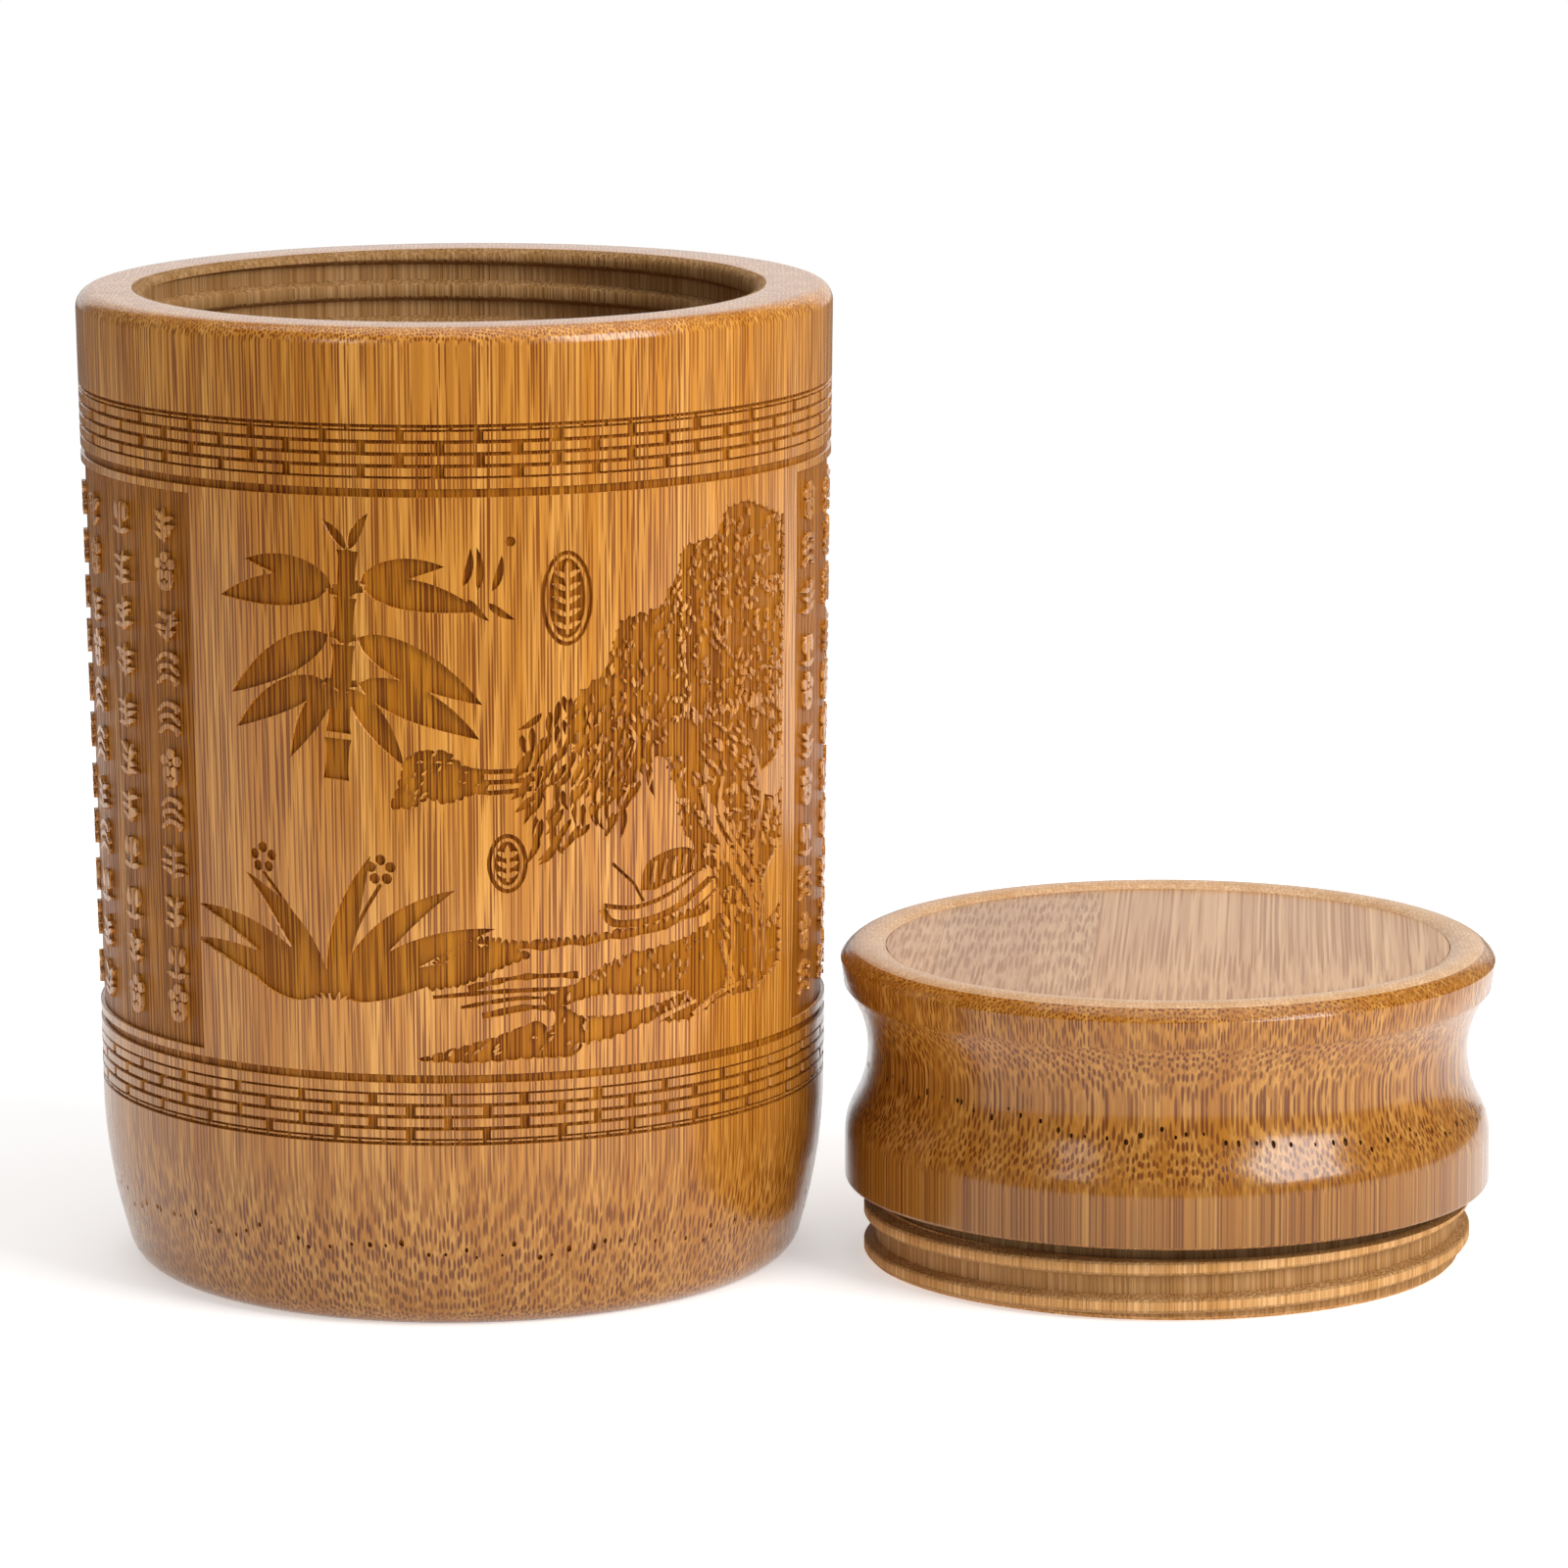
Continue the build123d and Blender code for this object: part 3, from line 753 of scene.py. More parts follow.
def panel(start, end, low, high):
    """The recessed panel round the back, with its columns of small raised ornaments."""
    out = [(CUT, [(start, low), (end, low), (end, high), (start, high)])]
    columns = 21
    rows = 11
    first = start + 5.5
    pitch = (end - 5.6 - first) / (columns - 1)
    for column in range(columns):
        for row in range(rows):
            drop = rng.uniform(-0.4, 0.4)
            z = high - 5.4 - row * (high - low - 10.6) / (rows - 1) + drop
            out += [(RAISED, shape) for shape in column_sign(first + column * pitch, z, 5.2, 5.4)]
    return out


def band(edge_z, away, around):
    """A band of bricks. away is -1 where it runs down from its outer edge, +1 where it runs up."""

    def ring(start, end, level, left=-around / 2, right=around / 2):
        low, high = sorted((edge_z + away * start, edge_z + away * end))
        return (level, [(left, low), (right, low), (right, high), (left, high)])

    out = [ring(0.0, STRIP_INSET, CUT), ring(STRIP_INSET + STRIP_HEIGHT, BAND_HEIGHT, CUT)]
    pitch = around / BRICKS_ROUND
    for row in range(BRICK_ROWS):
        start = FIRST_ROW_INSET + row * ROW_PITCH
        for k in range(-1, BRICKS_ROUND + 1):
            left = -around / 2 + (k + 0.5 * (row % 2)) * pitch + BRICK_GAP / 2 + rng.uniform(-0.12, 0.12)
            right = left + pitch - BRICK_GAP + rng.uniform(-0.12, 0.12)
            left = max(left, -around / 2)
            right = min(right, around / 2)
            if right - left > 0.4:
                out.append(ring(start, start + BRICK_HEIGHT, RAISED, left, right))
    line_end = THREAD_LINE_INSET + THREAD_LINE_HEIGHT
    for k in range(3 * BRICKS_ROUND):
        left = -around / 2 + k * pitch / 3
        out.append(ring(THREAD_LINE_INSET, line_end, RAISED, left, left + pitch / 3 * 0.84))
    return out


def pits(around, unrolled_radius, sizes):
    """Root pits: a slanting ring of small holes round a culm. sizes is POT_PITS or LID_PITS."""
    mean_z, swing, turn, count, size = sizes
    s_from, s_to = -around / 2 + 2, around / 2 - 2
    out = []
    for k in range(count):
        s = s_from + (s_to - s_from) * (k + rng.uniform(0.1, 0.9)) / count
        z = mean_z + swing * math.sin(s / unrolled_radius + turn)
        z += rng.choice((-1.1, 0.0, 0.2, 1.2)) * rng.uniform(0.5, 1.2)
        radius = size * rng.uniform(0.45, 1.0)
        out.append((CUT, oval(s, z, radius, radius * rng.uniform(1.1, 1.6), 8, 0.12)))
    return out


# ---- From the drawing to a mesh on a turned surface ----


def split_long(outline, step):
    """Adds points to an outline so that no edge is much longer than step."""
    out = []
    for a, b in zip(outline, outline[1:] + outline[:1]):
        pieces = max(1, math.ceil(math.hypot(b[0] - a[0], b[1] - a[1]) / step))
        out += [(a[0] + (b[0] - a[0]) * k / pieces, a[1] + (b[1] - a[1]) * k / pieces) for k in range(pieces)]
    return out


def many_inside(points, outline):
    """Which of an array of points lie in an outline."""
    hit = np.zeros(len(points), bool)
    s, z = points[:, 0], points[:, 1]
    for (s1, z1), (s2, z2) in zip(outline, outline[1:] + outline[:1]):
        if z1 == z2:
            continue
        crosses = (z1 > z) != (z2 > z)
        hit ^= crosses & (s < (s2 - s1) * (z - z1) / (z2 - z1) + s1)
    return hit


def engraved_field(drawing, around, rows, cell):
    """Triangulates a drawing over the unrolled wall, and gives points, triangles and levels.

    rows are the heights of the field's grid lines, the first and last of them its edges.
    """
    low, high = rows[0], rows[-1]
    points, edges = [], []

    def add_loop(loop, closed=True):
        first = len(points)
        points.extend(loop)
        count = len(loop)
        edges.extend((first + k, first + (k + 1) % count) for k in range(count if closed else count - 1))

    columns = round(around / cell)
    for seam_s in (-around / 2, around / 2):
        add_loop([(seam_s, z) for z in rows], closed=False)
    for z in (low, high):
        add_loop([(-around / 2 + around * k / columns, z) for k in range(columns + 1)], closed=False)
    outlines = []
    for level, outline in drawing:
        outline = split_long(outline, cell)
        outlines.append((level, outline))
        add_loop(outline)
    for z_index in range(1, len(rows) - 1):
        shift = 0.5 * (z_index % 2)
        for k in range(columns):
            s = -around / 2 + around * (k + 0.25 + shift) / columns
            if abs(s) < around / 2 - 0.5:
                points.append((s, rows[z_index]))
    vectors = [Vector((s, z)) for s, z in points]
    verts, _, faces, _, _, _ = delaunay_2d_cdt(vectors, edges, [], 0, 1e-4, False)
    verts = np.array([(v[0], v[1]) for v in verts])
    faces = np.array([f for f in faces if len(f) == 3])
    middles = verts[faces].mean(axis=1)
    levels = np.zeros(len(faces), int)
    order = np.argsort(middles[:, 1])
    sorted_z = middles[order, 1]
    for level, outline in outlines:
        z_values = [p[1] for p in outline]
        first, last = np.searchsorted(sorted_z, (min(z_values), max(z_values)))
        chosen = order[first:last]
        s_values = [p[0] for p in outline]
        near = chosen[(middles[chosen, 0] >= min(s_values)) & (middles[chosen, 0] <= max(s_values))]
        levels[near[many_inside(middles[near], outline)]] = level
    return verts, faces, levels


class Surface:
    """Collects one piece's vertices and faces, in millimetres, with a finish for each face."""

    def __init__(self):
        self.verts = []
        self.faces = []
        self.finishes = []
        self.normals = []  # one per face: None, or a list of its corners' normals

    def vertex(self, x, y, z):
        self.verts.append((x, y, z))
        return len(self.verts) - 1

    def face(self, corners, finish, normals=None):
        self.faces.append(tuple(corners))
        self.finishes.append(finish)
        self.normals.append(normals)

    def piece(self, name, materials, centre=(0.0, 0.0), sharp=35.0):
        """Writes the mesh: marks sharp edges and sets the worked-out normals."""
        mesh = bpy.data.meshes.new(name)
        cx, cy = centre
        mesh.from_pydata([((x + cx) * MM, (y + cy) * MM, z * MM) for x, y, z in self.verts], [], self.faces)
        mesh.polygons.foreach_set("material_index", self.finishes)
        mesh.polygons.foreach_set("use_smooth", [True] * len(self.faces))
        for material in materials:
            mesh.materials.append(material)
        mesh.set_sharp_from_angle(angle=math.radians(sharp))
        corner_normals = [None] * len(mesh.loops)
        for polygon, given in zip(mesh.polygons, self.normals):
            for k, loop in enumerate(polygon.loop_indices):
                corner_normals[loop] = given[k] if given else tuple(mesh.corner_normals[loop].vector)
        mesh.normals_split_custom_set(corner_normals)
        mesh.validate()
        return add_object(name, mesh)


def carve(surface, field, around, radius_at, depth, finishes):
    """Wraps an engraved field round a turned wall and builds the walls between its levels.

    finishes are (surface, floor, cut side). Returns the vertex rings at the field's two
    edges, as lists of (angle, vertex index).
    """
    verts, faces, levels = field
    half = around / 2
    nearby = 0.01
    index = {}
    seam = {round(z, 3): k for k, (s, z) in enumerate(verts) if abs(s + half) < 1e-3}
    same = [seam[round(z, 3)] if abs(s - half) < 1e-3 else k for k, (s, z) in enumerate(verts)]

    def angle_at(s):
        return 2 * math.pi * s / around - math.pi / 2

    def vertex(k, level):
        k = same[k]
        if (k, level) not in index:
            s, z = verts[k]
            index[(k, level)] = surface.vertex(*polar(radius_at(z) - depth * level, angle_at(s)), z)
        return index[(k, level)]

    def outward(k):
        s, z = verts[same[k]]
        angle = angle_at(s)
        lean = -(radius_at(z + nearby) - radius_at(z - nearby)) / (2 * nearby)
        size = math.hypot(1.0, lean)
        return Vector((math.cos(angle) / size, math.sin(angle) / size, lean / size))

    side = {}
    for face, level in zip(faces, levels):
        a, b, c = face
        pa, pb, pc = verts[a], verts[b], verts[c]
        if (pb[0] - pa[0]) * (pc[1] - pa[1]) - (pb[1] - pa[1]) * (pc[0] - pa[0]) < 0:
            b, c = c, b
        corners = (a, b, c)
        surface.face([vertex(k, level) for k in corners], finishes[level], [outward(k) for k in corners])
        for i in range(3):
            side[(same[corners[i]], same[corners[(i + 1) % 3]])] = level
    for (a, b), level in side.items():
        if level != RAISED or side.get((b, a), RAISED) != CUT:
            continue
        top_a, top_b, low_b, low_a = vertex(a, RAISED), vertex(b, RAISED), vertex(b, CUT), vertex(a, CUT)
        along = Vector(surface.verts[top_b]) - Vector(surface.verts[top_a])
        down = Vector(surface.verts[low_a]) - Vector(surface.verts[top_a])
        flat = down.cross(along)
        if flat.length < 1e-9:
            continue
        flat.normalize()
        edge_a = (flat + outward(a)).normalized()
        edge_b = (flat + outward(b)).normalized()
        surface.face((top_a, low_a, low_b, top_b), finishes[2], (edge_a, flat, flat, edge_b))
    rings = []
    for edge in (verts[:, 1].min(), verts[:, 1].max()):
        ring = [k for k in range(len(verts)) if abs(verts[k][1] - edge) < 1e-3 and same[k] == k]
        ring.sort(key=lambda k: verts[k][0])
        rings.append([(angle_at(verts[k][0]), vertex(k, RAISED)) for k in ring])
    return rings


def rings_along(surface, ring, outline, finish, flip=False):
    """Carries a ring of (angle, vertex) along an outline of (radius, z), a quad strip per step."""
    for radius, z in outline:
        following = [(angle, surface.vertex(*polar(radius, angle), z)) for angle, _ in ring]
        count = len(ring)
        for k in range(count):
            a, b = ring[k][1], ring[(k + 1) % count][1]
            c, d = following[(k + 1) % count][1], following[k][1]
            surface.face((a, d, c, b) if flip else (a, b, c, d), finish)
        ring = following
    return ring


def moved_ring(surface, ring, out, z):
    """A copy of a ring of (angle, vertex), this far outside it and at one height."""
    moved = []
    for angle, vertex in ring:
        x, y, _ = surface.verts[vertex]
        moved.append((angle, surface.vertex(*polar(math.hypot(x, y) + out, angle), z)))
    return moved


def join_rings(surface, lower, upper, finish, flip=False):
    """Fills between two rings whose angles differ, a triangle at a time."""

    def unrolled(ring):
        turned = sorted(((angle + math.pi / 2) % (2 * math.pi), vertex) for angle, vertex in ring)
        return turned + [(turned[0][0] + 2 * math.pi, turned[0][1])]

    a, b = unrolled(lower), unrolled(upper)
    i = j = 0
    while i < len(a) - 1 or j < len(b) - 1:
        if j == len(b) - 1 or (i < len(a) - 1 and a[i + 1][0] <= b[j + 1][0]):
            corners = (a[i][1], a[i + 1][1], b[j][1])
            i += 1
        else:
            corners = (a[i][1], b[j + 1][1], b[j][1])
            j += 1
        surface.face(corners[::-1] if flip else corners, finish)


def arc(start, middle, end, steps):
    """Points on the circle through three points, from after start to end."""
    (x1, y1), (x2, y2), (x3, y3) = start, middle, end
    d = 2 * (x1 * (y2 - y3) + x2 * (y3 - y1) + x3 * (y1 - y2))
    q1, q2, q3 = x1 * x1 + y1 * y1, x2 * x2 + y2 * y2, x3 * x3 + y3 * y3
    cx = (q1 * (y2 - y3) + q2 * (y3 - y1) + q3 * (y1 - y2)) / d
    cy = (q1 * (x3 - x2) + q2 * (x1 - x3) + q3 * (x2 - x1)) / d
    radius = math.hypot(x1 - cx, y1 - cy)
    turn1 = math.atan2(y1 - cy, x1 - cx)
    turn2 = math.atan2(y2 - cy, x2 - cx)
    turn3 = math.atan2(y3 - cy, x3 - cx)
    sweep = (turn3 - turn1) % (2 * math.pi)
    if (turn2 - turn1) % (2 * math.pi) > sweep:
        sweep -= 2 * math.pi
    points = []
    for k in range(1, steps + 1):
        turn = turn1 + sweep * k / steps
        points.append((cx + radius * math.cos(turn), cy + radius * math.sin(turn)))
    return points


def helical_wall(surface, low_z, high_z, phase_z, section, outside, fade=None):
    """A threaded wall between two heights: rows follow the helix, and are cut off level.

    section lists (offset, radius, finish) up one pitch, from the groove's middle. phase_z is the
    groove's height at angle 0. fade, if given, is (plain radius, height where the thread starts
    from it, height where the thread is full). Returns the rings at the low and high ends.
    """
    columns = THREAD_COLUMNS
    per_turn = len(section)
    turns = math.ceil((high_z - low_z) / THREAD_PITCH) + 2
    start = low_z - ((low_z - phase_z) % THREAD_PITCH) - 2 * THREAD_PITCH
    points = {}

    def corner(column, row):
        offset, radius, _ = section[row % per_turn]
        z = start + THREAD_PITCH * column / columns + THREAD_PITCH * (row // per_turn) + offset
        return 2 * math.pi * column / columns, z, radius

    def point(angle, z, radius):
        if fade:
            plain_radius, start_z, full_z = fade
            share = min(max((z - start_z) / (full_z - start_z), 0.0), 1.0)
            radius = plain_radius + (radius - plain_radius) * share * share * (3 - 2 * share)
        key = (round(angle % (2 * math.pi), 5), round(z, 4), round(radius, 4))
        if key not in points:
            points[key] = (surface.vertex(*polar(radius, angle), z), angle, z)
        return points[key][0]

    def cut_at(level, polygon, side):
        """The part of a polygon above a height where side is 1, or below it where side is -1."""
        kept = []
        for p, q in zip(polygon, polygon[1:] + polygon[:1]):
            p_in, q_in = side * (p[1] - level) >= 0, side * (q[1] - level) >= 0
            if p_in:
                kept.append(p)
            if p_in != q_in:
                t = (level - p[1]) / (q[1] - p[1])
                kept.append((p[0] + (q[0] - p[0]) * t, level, p[2] + (q[2] - p[2]) * t))
        return kept

    for column in range(columns):
        for row in range((turns + 2) * per_turn):
            places = ((column, row), (column + 1, row), (column + 1, row + 1), (column, row + 1))
            polygon = cut_at(low_z, [corner(*place) for place in places], 1)
            polygon = cut_at(high_z, polygon, -1) if len(polygon) > 2 else []
            corners = []
            for angle, z, radius in polygon:
                made = point(angle, z, radius)
                if made not in corners:
                    corners.append(made)
            if len(corners) > 2:
                surface.face(corners if outside else corners[::-1], section[row % per_turn][2])
    rings = []
    for level in (low_z, high_z):
        at_level = {}
        for vertex, angle, z in points.values():
            if abs(z - level) < 1e-6:
                at_level[round(angle % (2 * math.pi), 5)] = (angle % (2 * math.pi), vertex)
        rings.append(sorted(at_level.values()))
    return rings


def thread_section(surface_radius, root_radius, mouth, root, finish_crest, finish_flank, finish_root):
    """One pitch of a thread, up from the groove's middle, with its crest edges eased."""
    ease = THREAD_EDGE_EASE
    toward = 1 if root_radius > surface_radius else -1
    return [
        (0.0, root_radius, finish_root),
        (root / 2, root_radius, finish_flank),
        (mouth / 2 - ease / 2, surface_radius + toward * ease, finish_flank),
        (mouth / 2 + ease, surface_radius, finish_crest),
        (THREAD_PITCH / 2, surface_radius, finish_crest),
        (THREAD_PITCH - mouth / 2 - ease, surface_radius, finish_flank),
        (THREAD_PITCH - mouth / 2 + ease / 2, surface_radius + toward * ease, finish_flank),
        (THREAD_PITCH - root / 2, root_radius, finish_root),
    ]


# ---- The pot ----


def wall_radius(z):
    """The pot's tapering wall above its foot."""
    return FOOT_TOP_RADIUS + WALL_SLOPE * (z - FOOT_TOP_Z)


FOOT_CURVE = arc(
    (FOOT_LOW_RADIUS, FOOT_LOW_Z), (FOOT_MID_RADIUS, FOOT_MID_Z), (FOOT_TOP_RADIUS, FOOT_TOP_Z), 40
)


def pot_radius(z):
    """The pot's radius above its foot's lower edge."""
    if z >= FOOT_TOP_Z:
        return wall_radius(z)
    curve_z = [FOOT_LOW_Z] + [point[1] for point in FOOT_CURVE]
    curve_r = [FOOT_LOW_RADIUS] + [point[0] for point in FOOT_CURVE]
    return float(np.interp(z, curve_z, curve_r))


def back_panel(around):
    """The panel, cut at the seam at the back into two halves. Ornaments on the seam are left out."""
    low = LOWER_BAND_BOTTOM_Z + BAND_HEIGHT + PANEL_MARGIN
    high = UPPER_BAND_TOP_Z - BAND_HEIGHT - PANEL_MARGIN
    to_s = around / 360.0
    start = PANEL_START_ANGLE * to_s
    end = (PANEL_END_ANGLE - 360.0) * to_s
    _, *ornaments = panel(start, start + (PANEL_END_ANGLE - PANEL_START_ANGLE) * to_s, low, high)
    out = []
    for left, right in ((start, around / 2), (-around / 2, end)):
        out.append((CUT, [(left, low), (right, low), (right, high), (left, high)]))
    for level, outline in ornaments:
        middle = sum(p[0] for p in outline) / len(outline)
        if middle < around / 2 - SEAM_MARGIN:
            out.append((level, outline))
        elif middle > around / 2 + SEAM_MARGIN:
            out.append((level, [(s - around, z) for s, z in outline]))
    return out


def make_pot(materials):
    """The pot's culm: engraved wall, foot, rim and threaded bore, as one closed surface."""
    around = 2 * math.pi * UNROLLED_RADIUS
    field_top = POT_HEIGHT - RIM_ROUNDING
    drawing = band(UPPER_BAND_TOP_Z, -1, around) + band(LOWER_BAND_BOTTOM_Z, 1, around)
    drawing += back_panel(around)
    for level, outline in picture(PICTURE_END_ANGLE * (around / 360.0)):
        drawing.append((level, [(s, z - PICTURE_SINK) for s, z in outline]))
    drawing += pits(around, UNROLLED_RADIUS, POT_PITS)
    rows = [FOOT_LOW_Z, 5.2, 6.6, 8.4, 10.6, 13.2, 16.2, 19.6, 23.2, 25.6]
    rows += list(np.arange(LOWER_BAND_BOTTOM_Z, field_top - 2.0, 3.0)) + [field_top]
    field = engraved_field(drawing, around, rows, 2.8)
    surface = Surface()
    finishes = (VARNISHED, ENGRAVED, VARNISHED)
    low_ring, high_ring = carve(surface, field, around, pot_radius, ENGRAVING_DEPTH, finishes)

    rim_start = (pot_radius(field_top), field_top)
    rim_end = (rim_start[0] - RIM_ROUNDING, POT_HEIGHT)
    bend = RIM_ROUNDING * (1 - math.sqrt(0.5))
    rounding = arc(rim_start, (rim_start[0] - bend, POT_HEIGHT - bend), rim_end, 7)
    rim = rounding + [(BORE_RADIUS + RIM_FLAT_END, POT_HEIGHT)]
    rim_ring = rings_along(surface, high_ring, rim, VARNISHED)
    foot = arc((FOOT_LOW_RADIUS, FOOT_LOW_Z), (FOOT_EDGE_RADIUS, FOOT_EDGE_Z), (FOOT_RING_RADIUS, 0.0), 6)
    foot += [(BASE_RABBET_RADIUS, 0.0), (BASE_RABBET_RADIUS, BASE_BOARD_TOP), (BORE_RADIUS, BASE_BOARD_TOP)]
    foot_ring = rings_along(surface, low_ring, foot, VARNISHED, flip=True)

    section = thread_section(
        BORE_RADIUS, POT_GROOVE_RADIUS, POT_GROOVE_MOUTH, POT_GROOVE_ROOT, BARE, BARE, BARE
    )
    phase_z = POT_GROOVE_BACK_Z - THREAD_PITCH / 4
    fade = (BORE_RADIUS, BORE_THREAD_START_Z, BORE_THREAD_FULL_Z)
    bore_low, bore_high = helical_wall(
        surface, BORE_THREAD_LOW_Z, POT_HEIGHT - MOUTH_DEPTH, phase_z, section, False, fade
    )
    lip = bore_high
    for turn in (22.5, 45.0, 67.5, 90.0):
        out = MOUTH_WIDTH * (1 - math.cos(math.radians(turn)))
        z = POT_HEIGHT - MOUTH_DEPTH * (1 - math.sin(math.radians(turn)))
        following = moved_ring(surface, bore_high, out, z)
        join_rings(surface, lip, following, BARE, flip=True)
        lip = following
    join_rings(surface, rim_ring, lip, VARNISHED)
    join_rings(surface, foot_ring, bore_low, BARE, flip=True)
    return surface.piece("pot_culm", materials)


# ---- The lid ----


def lid_outline():
    """The lid's turned side from above the shoulder to the top band, as (radius, z) points."""

    def along_flare(turn):
        return (
            LOW_BAND_RADIUS - FLARE_CURVE * (1 - math.cos(turn)),
            LOW_BAND_TOP_Z + FLARE_CURVE * math.sin(turn),
        )

    angle = 2 * math.atan((LOW_BAND_RADIUS - WAIST_RADIUS) / (WAIST_Z - LOW_BAND_TOP_Z))
    half = angle / 2
    flare_middle, flare_end = along_flare(half), along_flare(angle)
    waist_curve = (WAIST_Z - flare_end[1]) / math.sin(angle)
    waist_middle = (WAIST_RADIUS + waist_curve * (1 - math.cos(half)), WAIST_Z - waist_curve * math.sin(half))
    rise = TOP_BAND_START_Z - WAIST_Z
    swell = TOP_BAND_START_RADIUS - WAIST_RADIUS
    upper_curve = (rise * rise + swell * swell) / (2 * swell)
    upper_angle = math.asin(rise / upper_curve) / 2
    upper_middle = (
        WAIST_RADIUS + upper_curve * (1 - math.cos(upper_angle)),
        WAIST_Z + upper_curve * math.sin(upper_angle),
    )
    low_band = (LOW_BAND_RADIUS, LOW_BAND_TOP_Z)
    outline = [(LOW_BAND_RADIUS, SPIGOT_LENGTH + 0.5), low_band]
    outline += arc(low_band, flare_middle, flare_end, 8)
    outline += arc(flare_end, waist_middle, (WAIST_RADIUS, WAIST_Z), 10)
    outline += arc((WAIST_RADIUS, WAIST_Z), upper_middle, (TOP_BAND_START_RADIUS, TOP_BAND_START_Z), 12)
    outline.append((TOP_BAND_END_RADIUS, TOP_BAND_END_Z))
    return outline


def make_lid_ring(materials):
    """The lid's culm: turned side with its pits, crown, board seat, neck and threaded spigot."""
    outline = lid_outline()
    radii = [point[0] for point in outline]
    heights = [point[1] for point in outline]
    around = 2 * math.pi * TOP_BAND_END_RADIUS
    drawing = pits(around, -TOP_BAND_END_RADIUS, LID_PITS)
    field = engraved_field(drawing, around, heights, 2.2)
    surface = Surface()
    finishes = (VARNISHED, ENGRAVED, ENGRAVED)

    def side_radius(z):
        return float(np.interp(z, heights, radii))

    low_ring, high_ring = carve(surface, field, around, side_radius, LID_PIT_DEPTH, finishes)
    crown_start = (TOP_BAND_END_RADIUS, TOP_BAND_END_Z)
    crown = arc(crown_start, (CREST_RADIUS, CREST_Z), (BOARD_RADIUS + BOARD_GLUE_LINE, BOARD_EDGE_Z), 12)
    seat = [(BOARD_RADIUS, BOARD_EDGE_Z - 0.1), (BOARD_RADIUS, LID_BOARD_SEAT_Z)]
    seat.append((LID_HOLLOW_RADIUS, LID_BOARD_SEAT_Z))
    crown_ring = rings_along(surface, high_ring, crown[:4], VARNISHED)
    inner_ring = rings_along(surface, crown_ring, crown[4:] + seat, CROWN)
    shoulder_z = SPIGOT_LENGTH
    neck_low = SPIGOT_LENGTH - NECK_HEIGHT
    under = [(LOW_BAND_RADIUS - 0.15, shoulder_z + 0.12), (LOW_BAND_RADIUS - 0.5, shoulder_z)]
    edge_ring = rings_along(surface, low_ring, under, VARNISHED, flip=True)
    neck = [(NECK_RADIUS, shoulder_z), (NECK_RADIUS, neck_low)]
    # The neck is painted shade: a very dark bare finish in its slot under the shoulder.
    neck_ring = rings_along(surface, edge_ring, neck, NECK, flip=True)
    # The thread's flanks and roots take ROUGH: darker bare wood, partly torn fibres, partly painted shade in
    # the grooves.
    section = thread_section(
        SPIGOT_RADIUS, SPIGOT_CORE_RADIUS, SPIGOT_GROOVE_MOUTH, SPIGOT_GROOVE_ROOT, BARE, ROUGH, ROUGH
    )
    phase_z = SPIGOT_GROOVE_FRONT_Z - THREAD_PITCH * 0.75
    spigot_low, spigot_high = helical_wall(surface, SPIGOT_END_Z, neck_low, phase_z, section, True)
    join_rings(surface, neck_ring, spigot_high, BARE, flip=True)
    end_ring = moved_ring(surface, spigot_low, -SPIGOT_END_EASE, 0.0)
    join_rings(surface, spigot_low, end_ring, BARE, flip=True)
    angles = [2 * math.pi * k / 120 for k in range(120)]
    bottom = [(angle, surface.vertex(*polar(LID_HOLLOW_RADIUS, angle), 0.0)) for angle in angles]
    join_rings(surface, end_ring, bottom, BARE, flip=True)
    join_rings(surface, inner_ring, bottom, BARE)
    return surface.piece("lid_culm", materials, centre=(LID_X, LID_Y))


def board_height(x, y):
    """The crowned top of the lid's board."""
    distance = math.hypot(x, y)
    curve_radius = (BOARD_RADIUS * BOARD_RADIUS + BOARD_CROWN * BOARD_CROWN) / (2 * BOARD_CROWN)
    return BOARD_EDGE_Z + BOARD_CROWN - (curve_radius - math.sqrt(curve_radius ** 2 - distance ** 2))


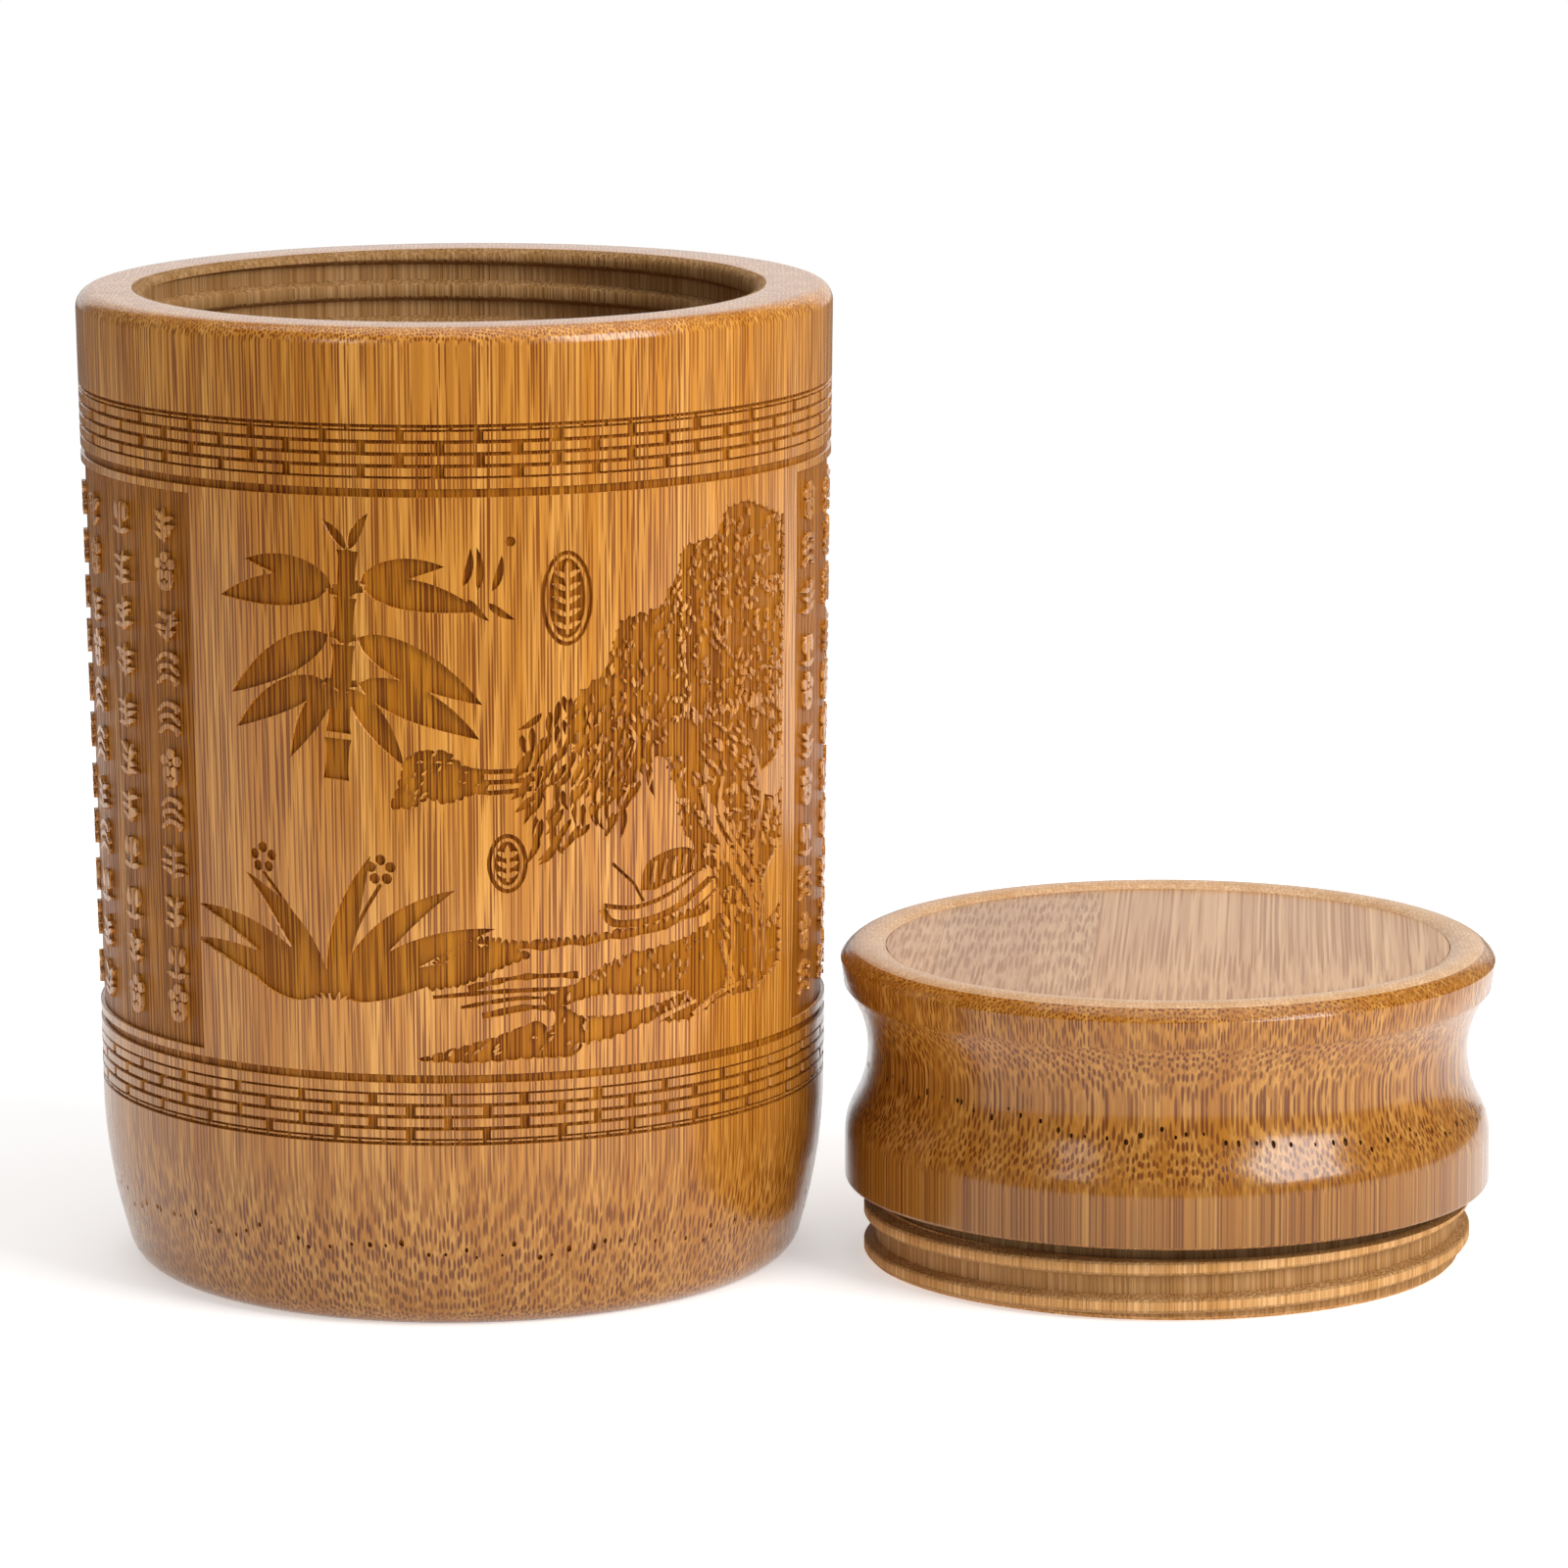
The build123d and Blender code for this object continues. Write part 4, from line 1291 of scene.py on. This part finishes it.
def make_stave(name, left, right, radius, material):
    """One stave of the lid's board: part of a disc, crowned, with its edges eased."""
    ease = STAVE_EDGE_EASE
    surface = Surface()
    columns = 9
    rows = 28
    turn = math.radians(LID_STAVE_TURN)

    def vertex(i, j, shrink, drop):
        """A corner of the stave, inset by shrink and this far under the crown, or on the seat."""
        x = left + (right - left) * i / columns
        reach = math.sqrt(max(radius * radius - x * x, 0.01))
        y = -reach + 2 * reach * (0.5 - 0.5 * math.cos(math.pi * j / rows))
        z = LID_BOARD_SEAT_Z if drop is None else board_height(x, y) - drop
        x -= shrink * (x - (left + right) / 2) / ((right - left) / 2)
        y *= 1 - shrink / radius
        cos, sin = math.cos(turn), math.sin(turn)
        return surface.vertex(x * cos - y * sin, x * sin + y * cos, z)

    loops = [
        [[vertex(i, j, shrink, drop) for j in range(rows + 1)] for i in range(columns + 1)]
        for shrink, drop in ((ease, 0.0), (0.0, ease), (0.0, None))
    ]
    top, _, bottom = loops
    for i in range(columns):
        for j in range(rows):
            surface.face((top[i][j], top[i + 1][j], top[i + 1][j + 1], top[i][j + 1]), 0)
            surface.face((bottom[i][j], bottom[i][j + 1], bottom[i + 1][j + 1], bottom[i + 1][j]), 0)

    def border(table):
        return (
            [table[i][0] for i in range(columns)]
            + [table[columns][j] for j in range(rows)]
            + [table[i][rows] for i in range(columns, 0, -1)]
            + [table[0][j] for j in range(rows, 0, -1)]
        )

    borders = [border(table) for table in loops]
    for upper, lower in zip(borders, borders[1:]):
        for k in range(len(upper)):
            m = (k + 1) % len(upper)
            surface.face((lower[k], lower[m], upper[m], upper[k]), 0)
    return surface.piece(name, [material], centre=(LID_X, LID_Y))


# ---- Putting it together ----

place_camera()
light_scene()
make_floor()

# The varnished and engraved culms darken towards the foot: partly their own deeper tone, partly painted
# shade.
culm = bamboo("culm_varnished", "varnish", tone=1.14, inner=(0.0, 0.0, 53.1, 0.62), foot_tone_and_shade=(0.54, 44.0))
culm_cut = bamboo("culm_engraved", "engraved", tone=0.94, foot_tone_and_shade=(0.7, 42.0))
culm_bare = bamboo("culm_bare", "bare", tone=0.72, spacing=0.8)
lid_inner = (LID_X, LID_Y, 47.5, 0.7)
lid_culm = bamboo("lid_culm_varnished", "varnish", tone=0.86, inner=lid_inner, foot_tone_and_shade=(0.6, 40.0))
lid_cut = bamboo("lid_culm_pits", "engraved", tone=0.3)
lid_bare = bamboo("lid_culm_bare", "bare", tone=1.22, spacing=0.6)
# Thread flanks and roots: darker bare wood, partly torn fibres, partly painted shade in the grooves.
lid_root_rough_and_shade = bamboo("lid_thread_root", "bare", tone=0.86, spacing=0.6)
# Painted shade: the neck's slot under the lid's shoulder is painted as dark bare wood.
lid_neck_painted_shade = bamboo("lid_neck_painted_shade", "bare", tone=0.36, spacing=0.6)
lid_crown = bamboo("lid_crown_varnished", "crown", spacing=0.6)

pot = make_pot([culm, culm_cut, culm_bare])
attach(pot, "pot")
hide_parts("pot_wall")

lid = make_lid_ring([lid_culm, lid_cut, lid_bare, lid_root_rough_and_shade, lid_neck_painted_shade, lid_crown])
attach(lid, "lid")
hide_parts("lid_ring")

for number in range(1, STAVE_COUNT + 1):
    tone = 1.0 + 0.06 * math.sin(number * 2.3)
    grain = ("Y", LID_STAVE_TURN, (0.013 * number, 0.37 * number, 0.023 * number))
    tilt = LEANING_STAVE_TILT if number <= LEANING_STAVES else OTHER_STAVE_TILT
    board = bamboo(f"lid_board_{number}", "board", grain, tone, BOARD_BUNDLE_SPACING, tilt=tilt)
    middle = (number - (STAVE_COUNT + 1) / 2) * STAVE_WIDTH + LID_STAVE_SHIFT
    left = max(middle - STAVE_WIDTH / 2, STAVE_TIP_GAP - BOARD_RADIUS)
    right = min(middle + STAVE_WIDTH / 2, BOARD_RADIUS - STAVE_TIP_GAP)
    stave = make_stave(f"lid_board_stave_{number}", left, right, BOARD_RADIUS - BOARD_GLUE_LINE, board)
    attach(stave, "lid")
    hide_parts(f"lid_stave_{number}")
    base_grain = ("Y", 0.0, (0.5, 0.29 * number, 0.031 * number))
    base = bamboo(f"base_board_{number}", "board", base_grain, tone, BOARD_BUNDLE_SPACING)
    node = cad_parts[f"base_stave_{number}"]
    node.data.materials.clear()
    node.data.materials.append(base)
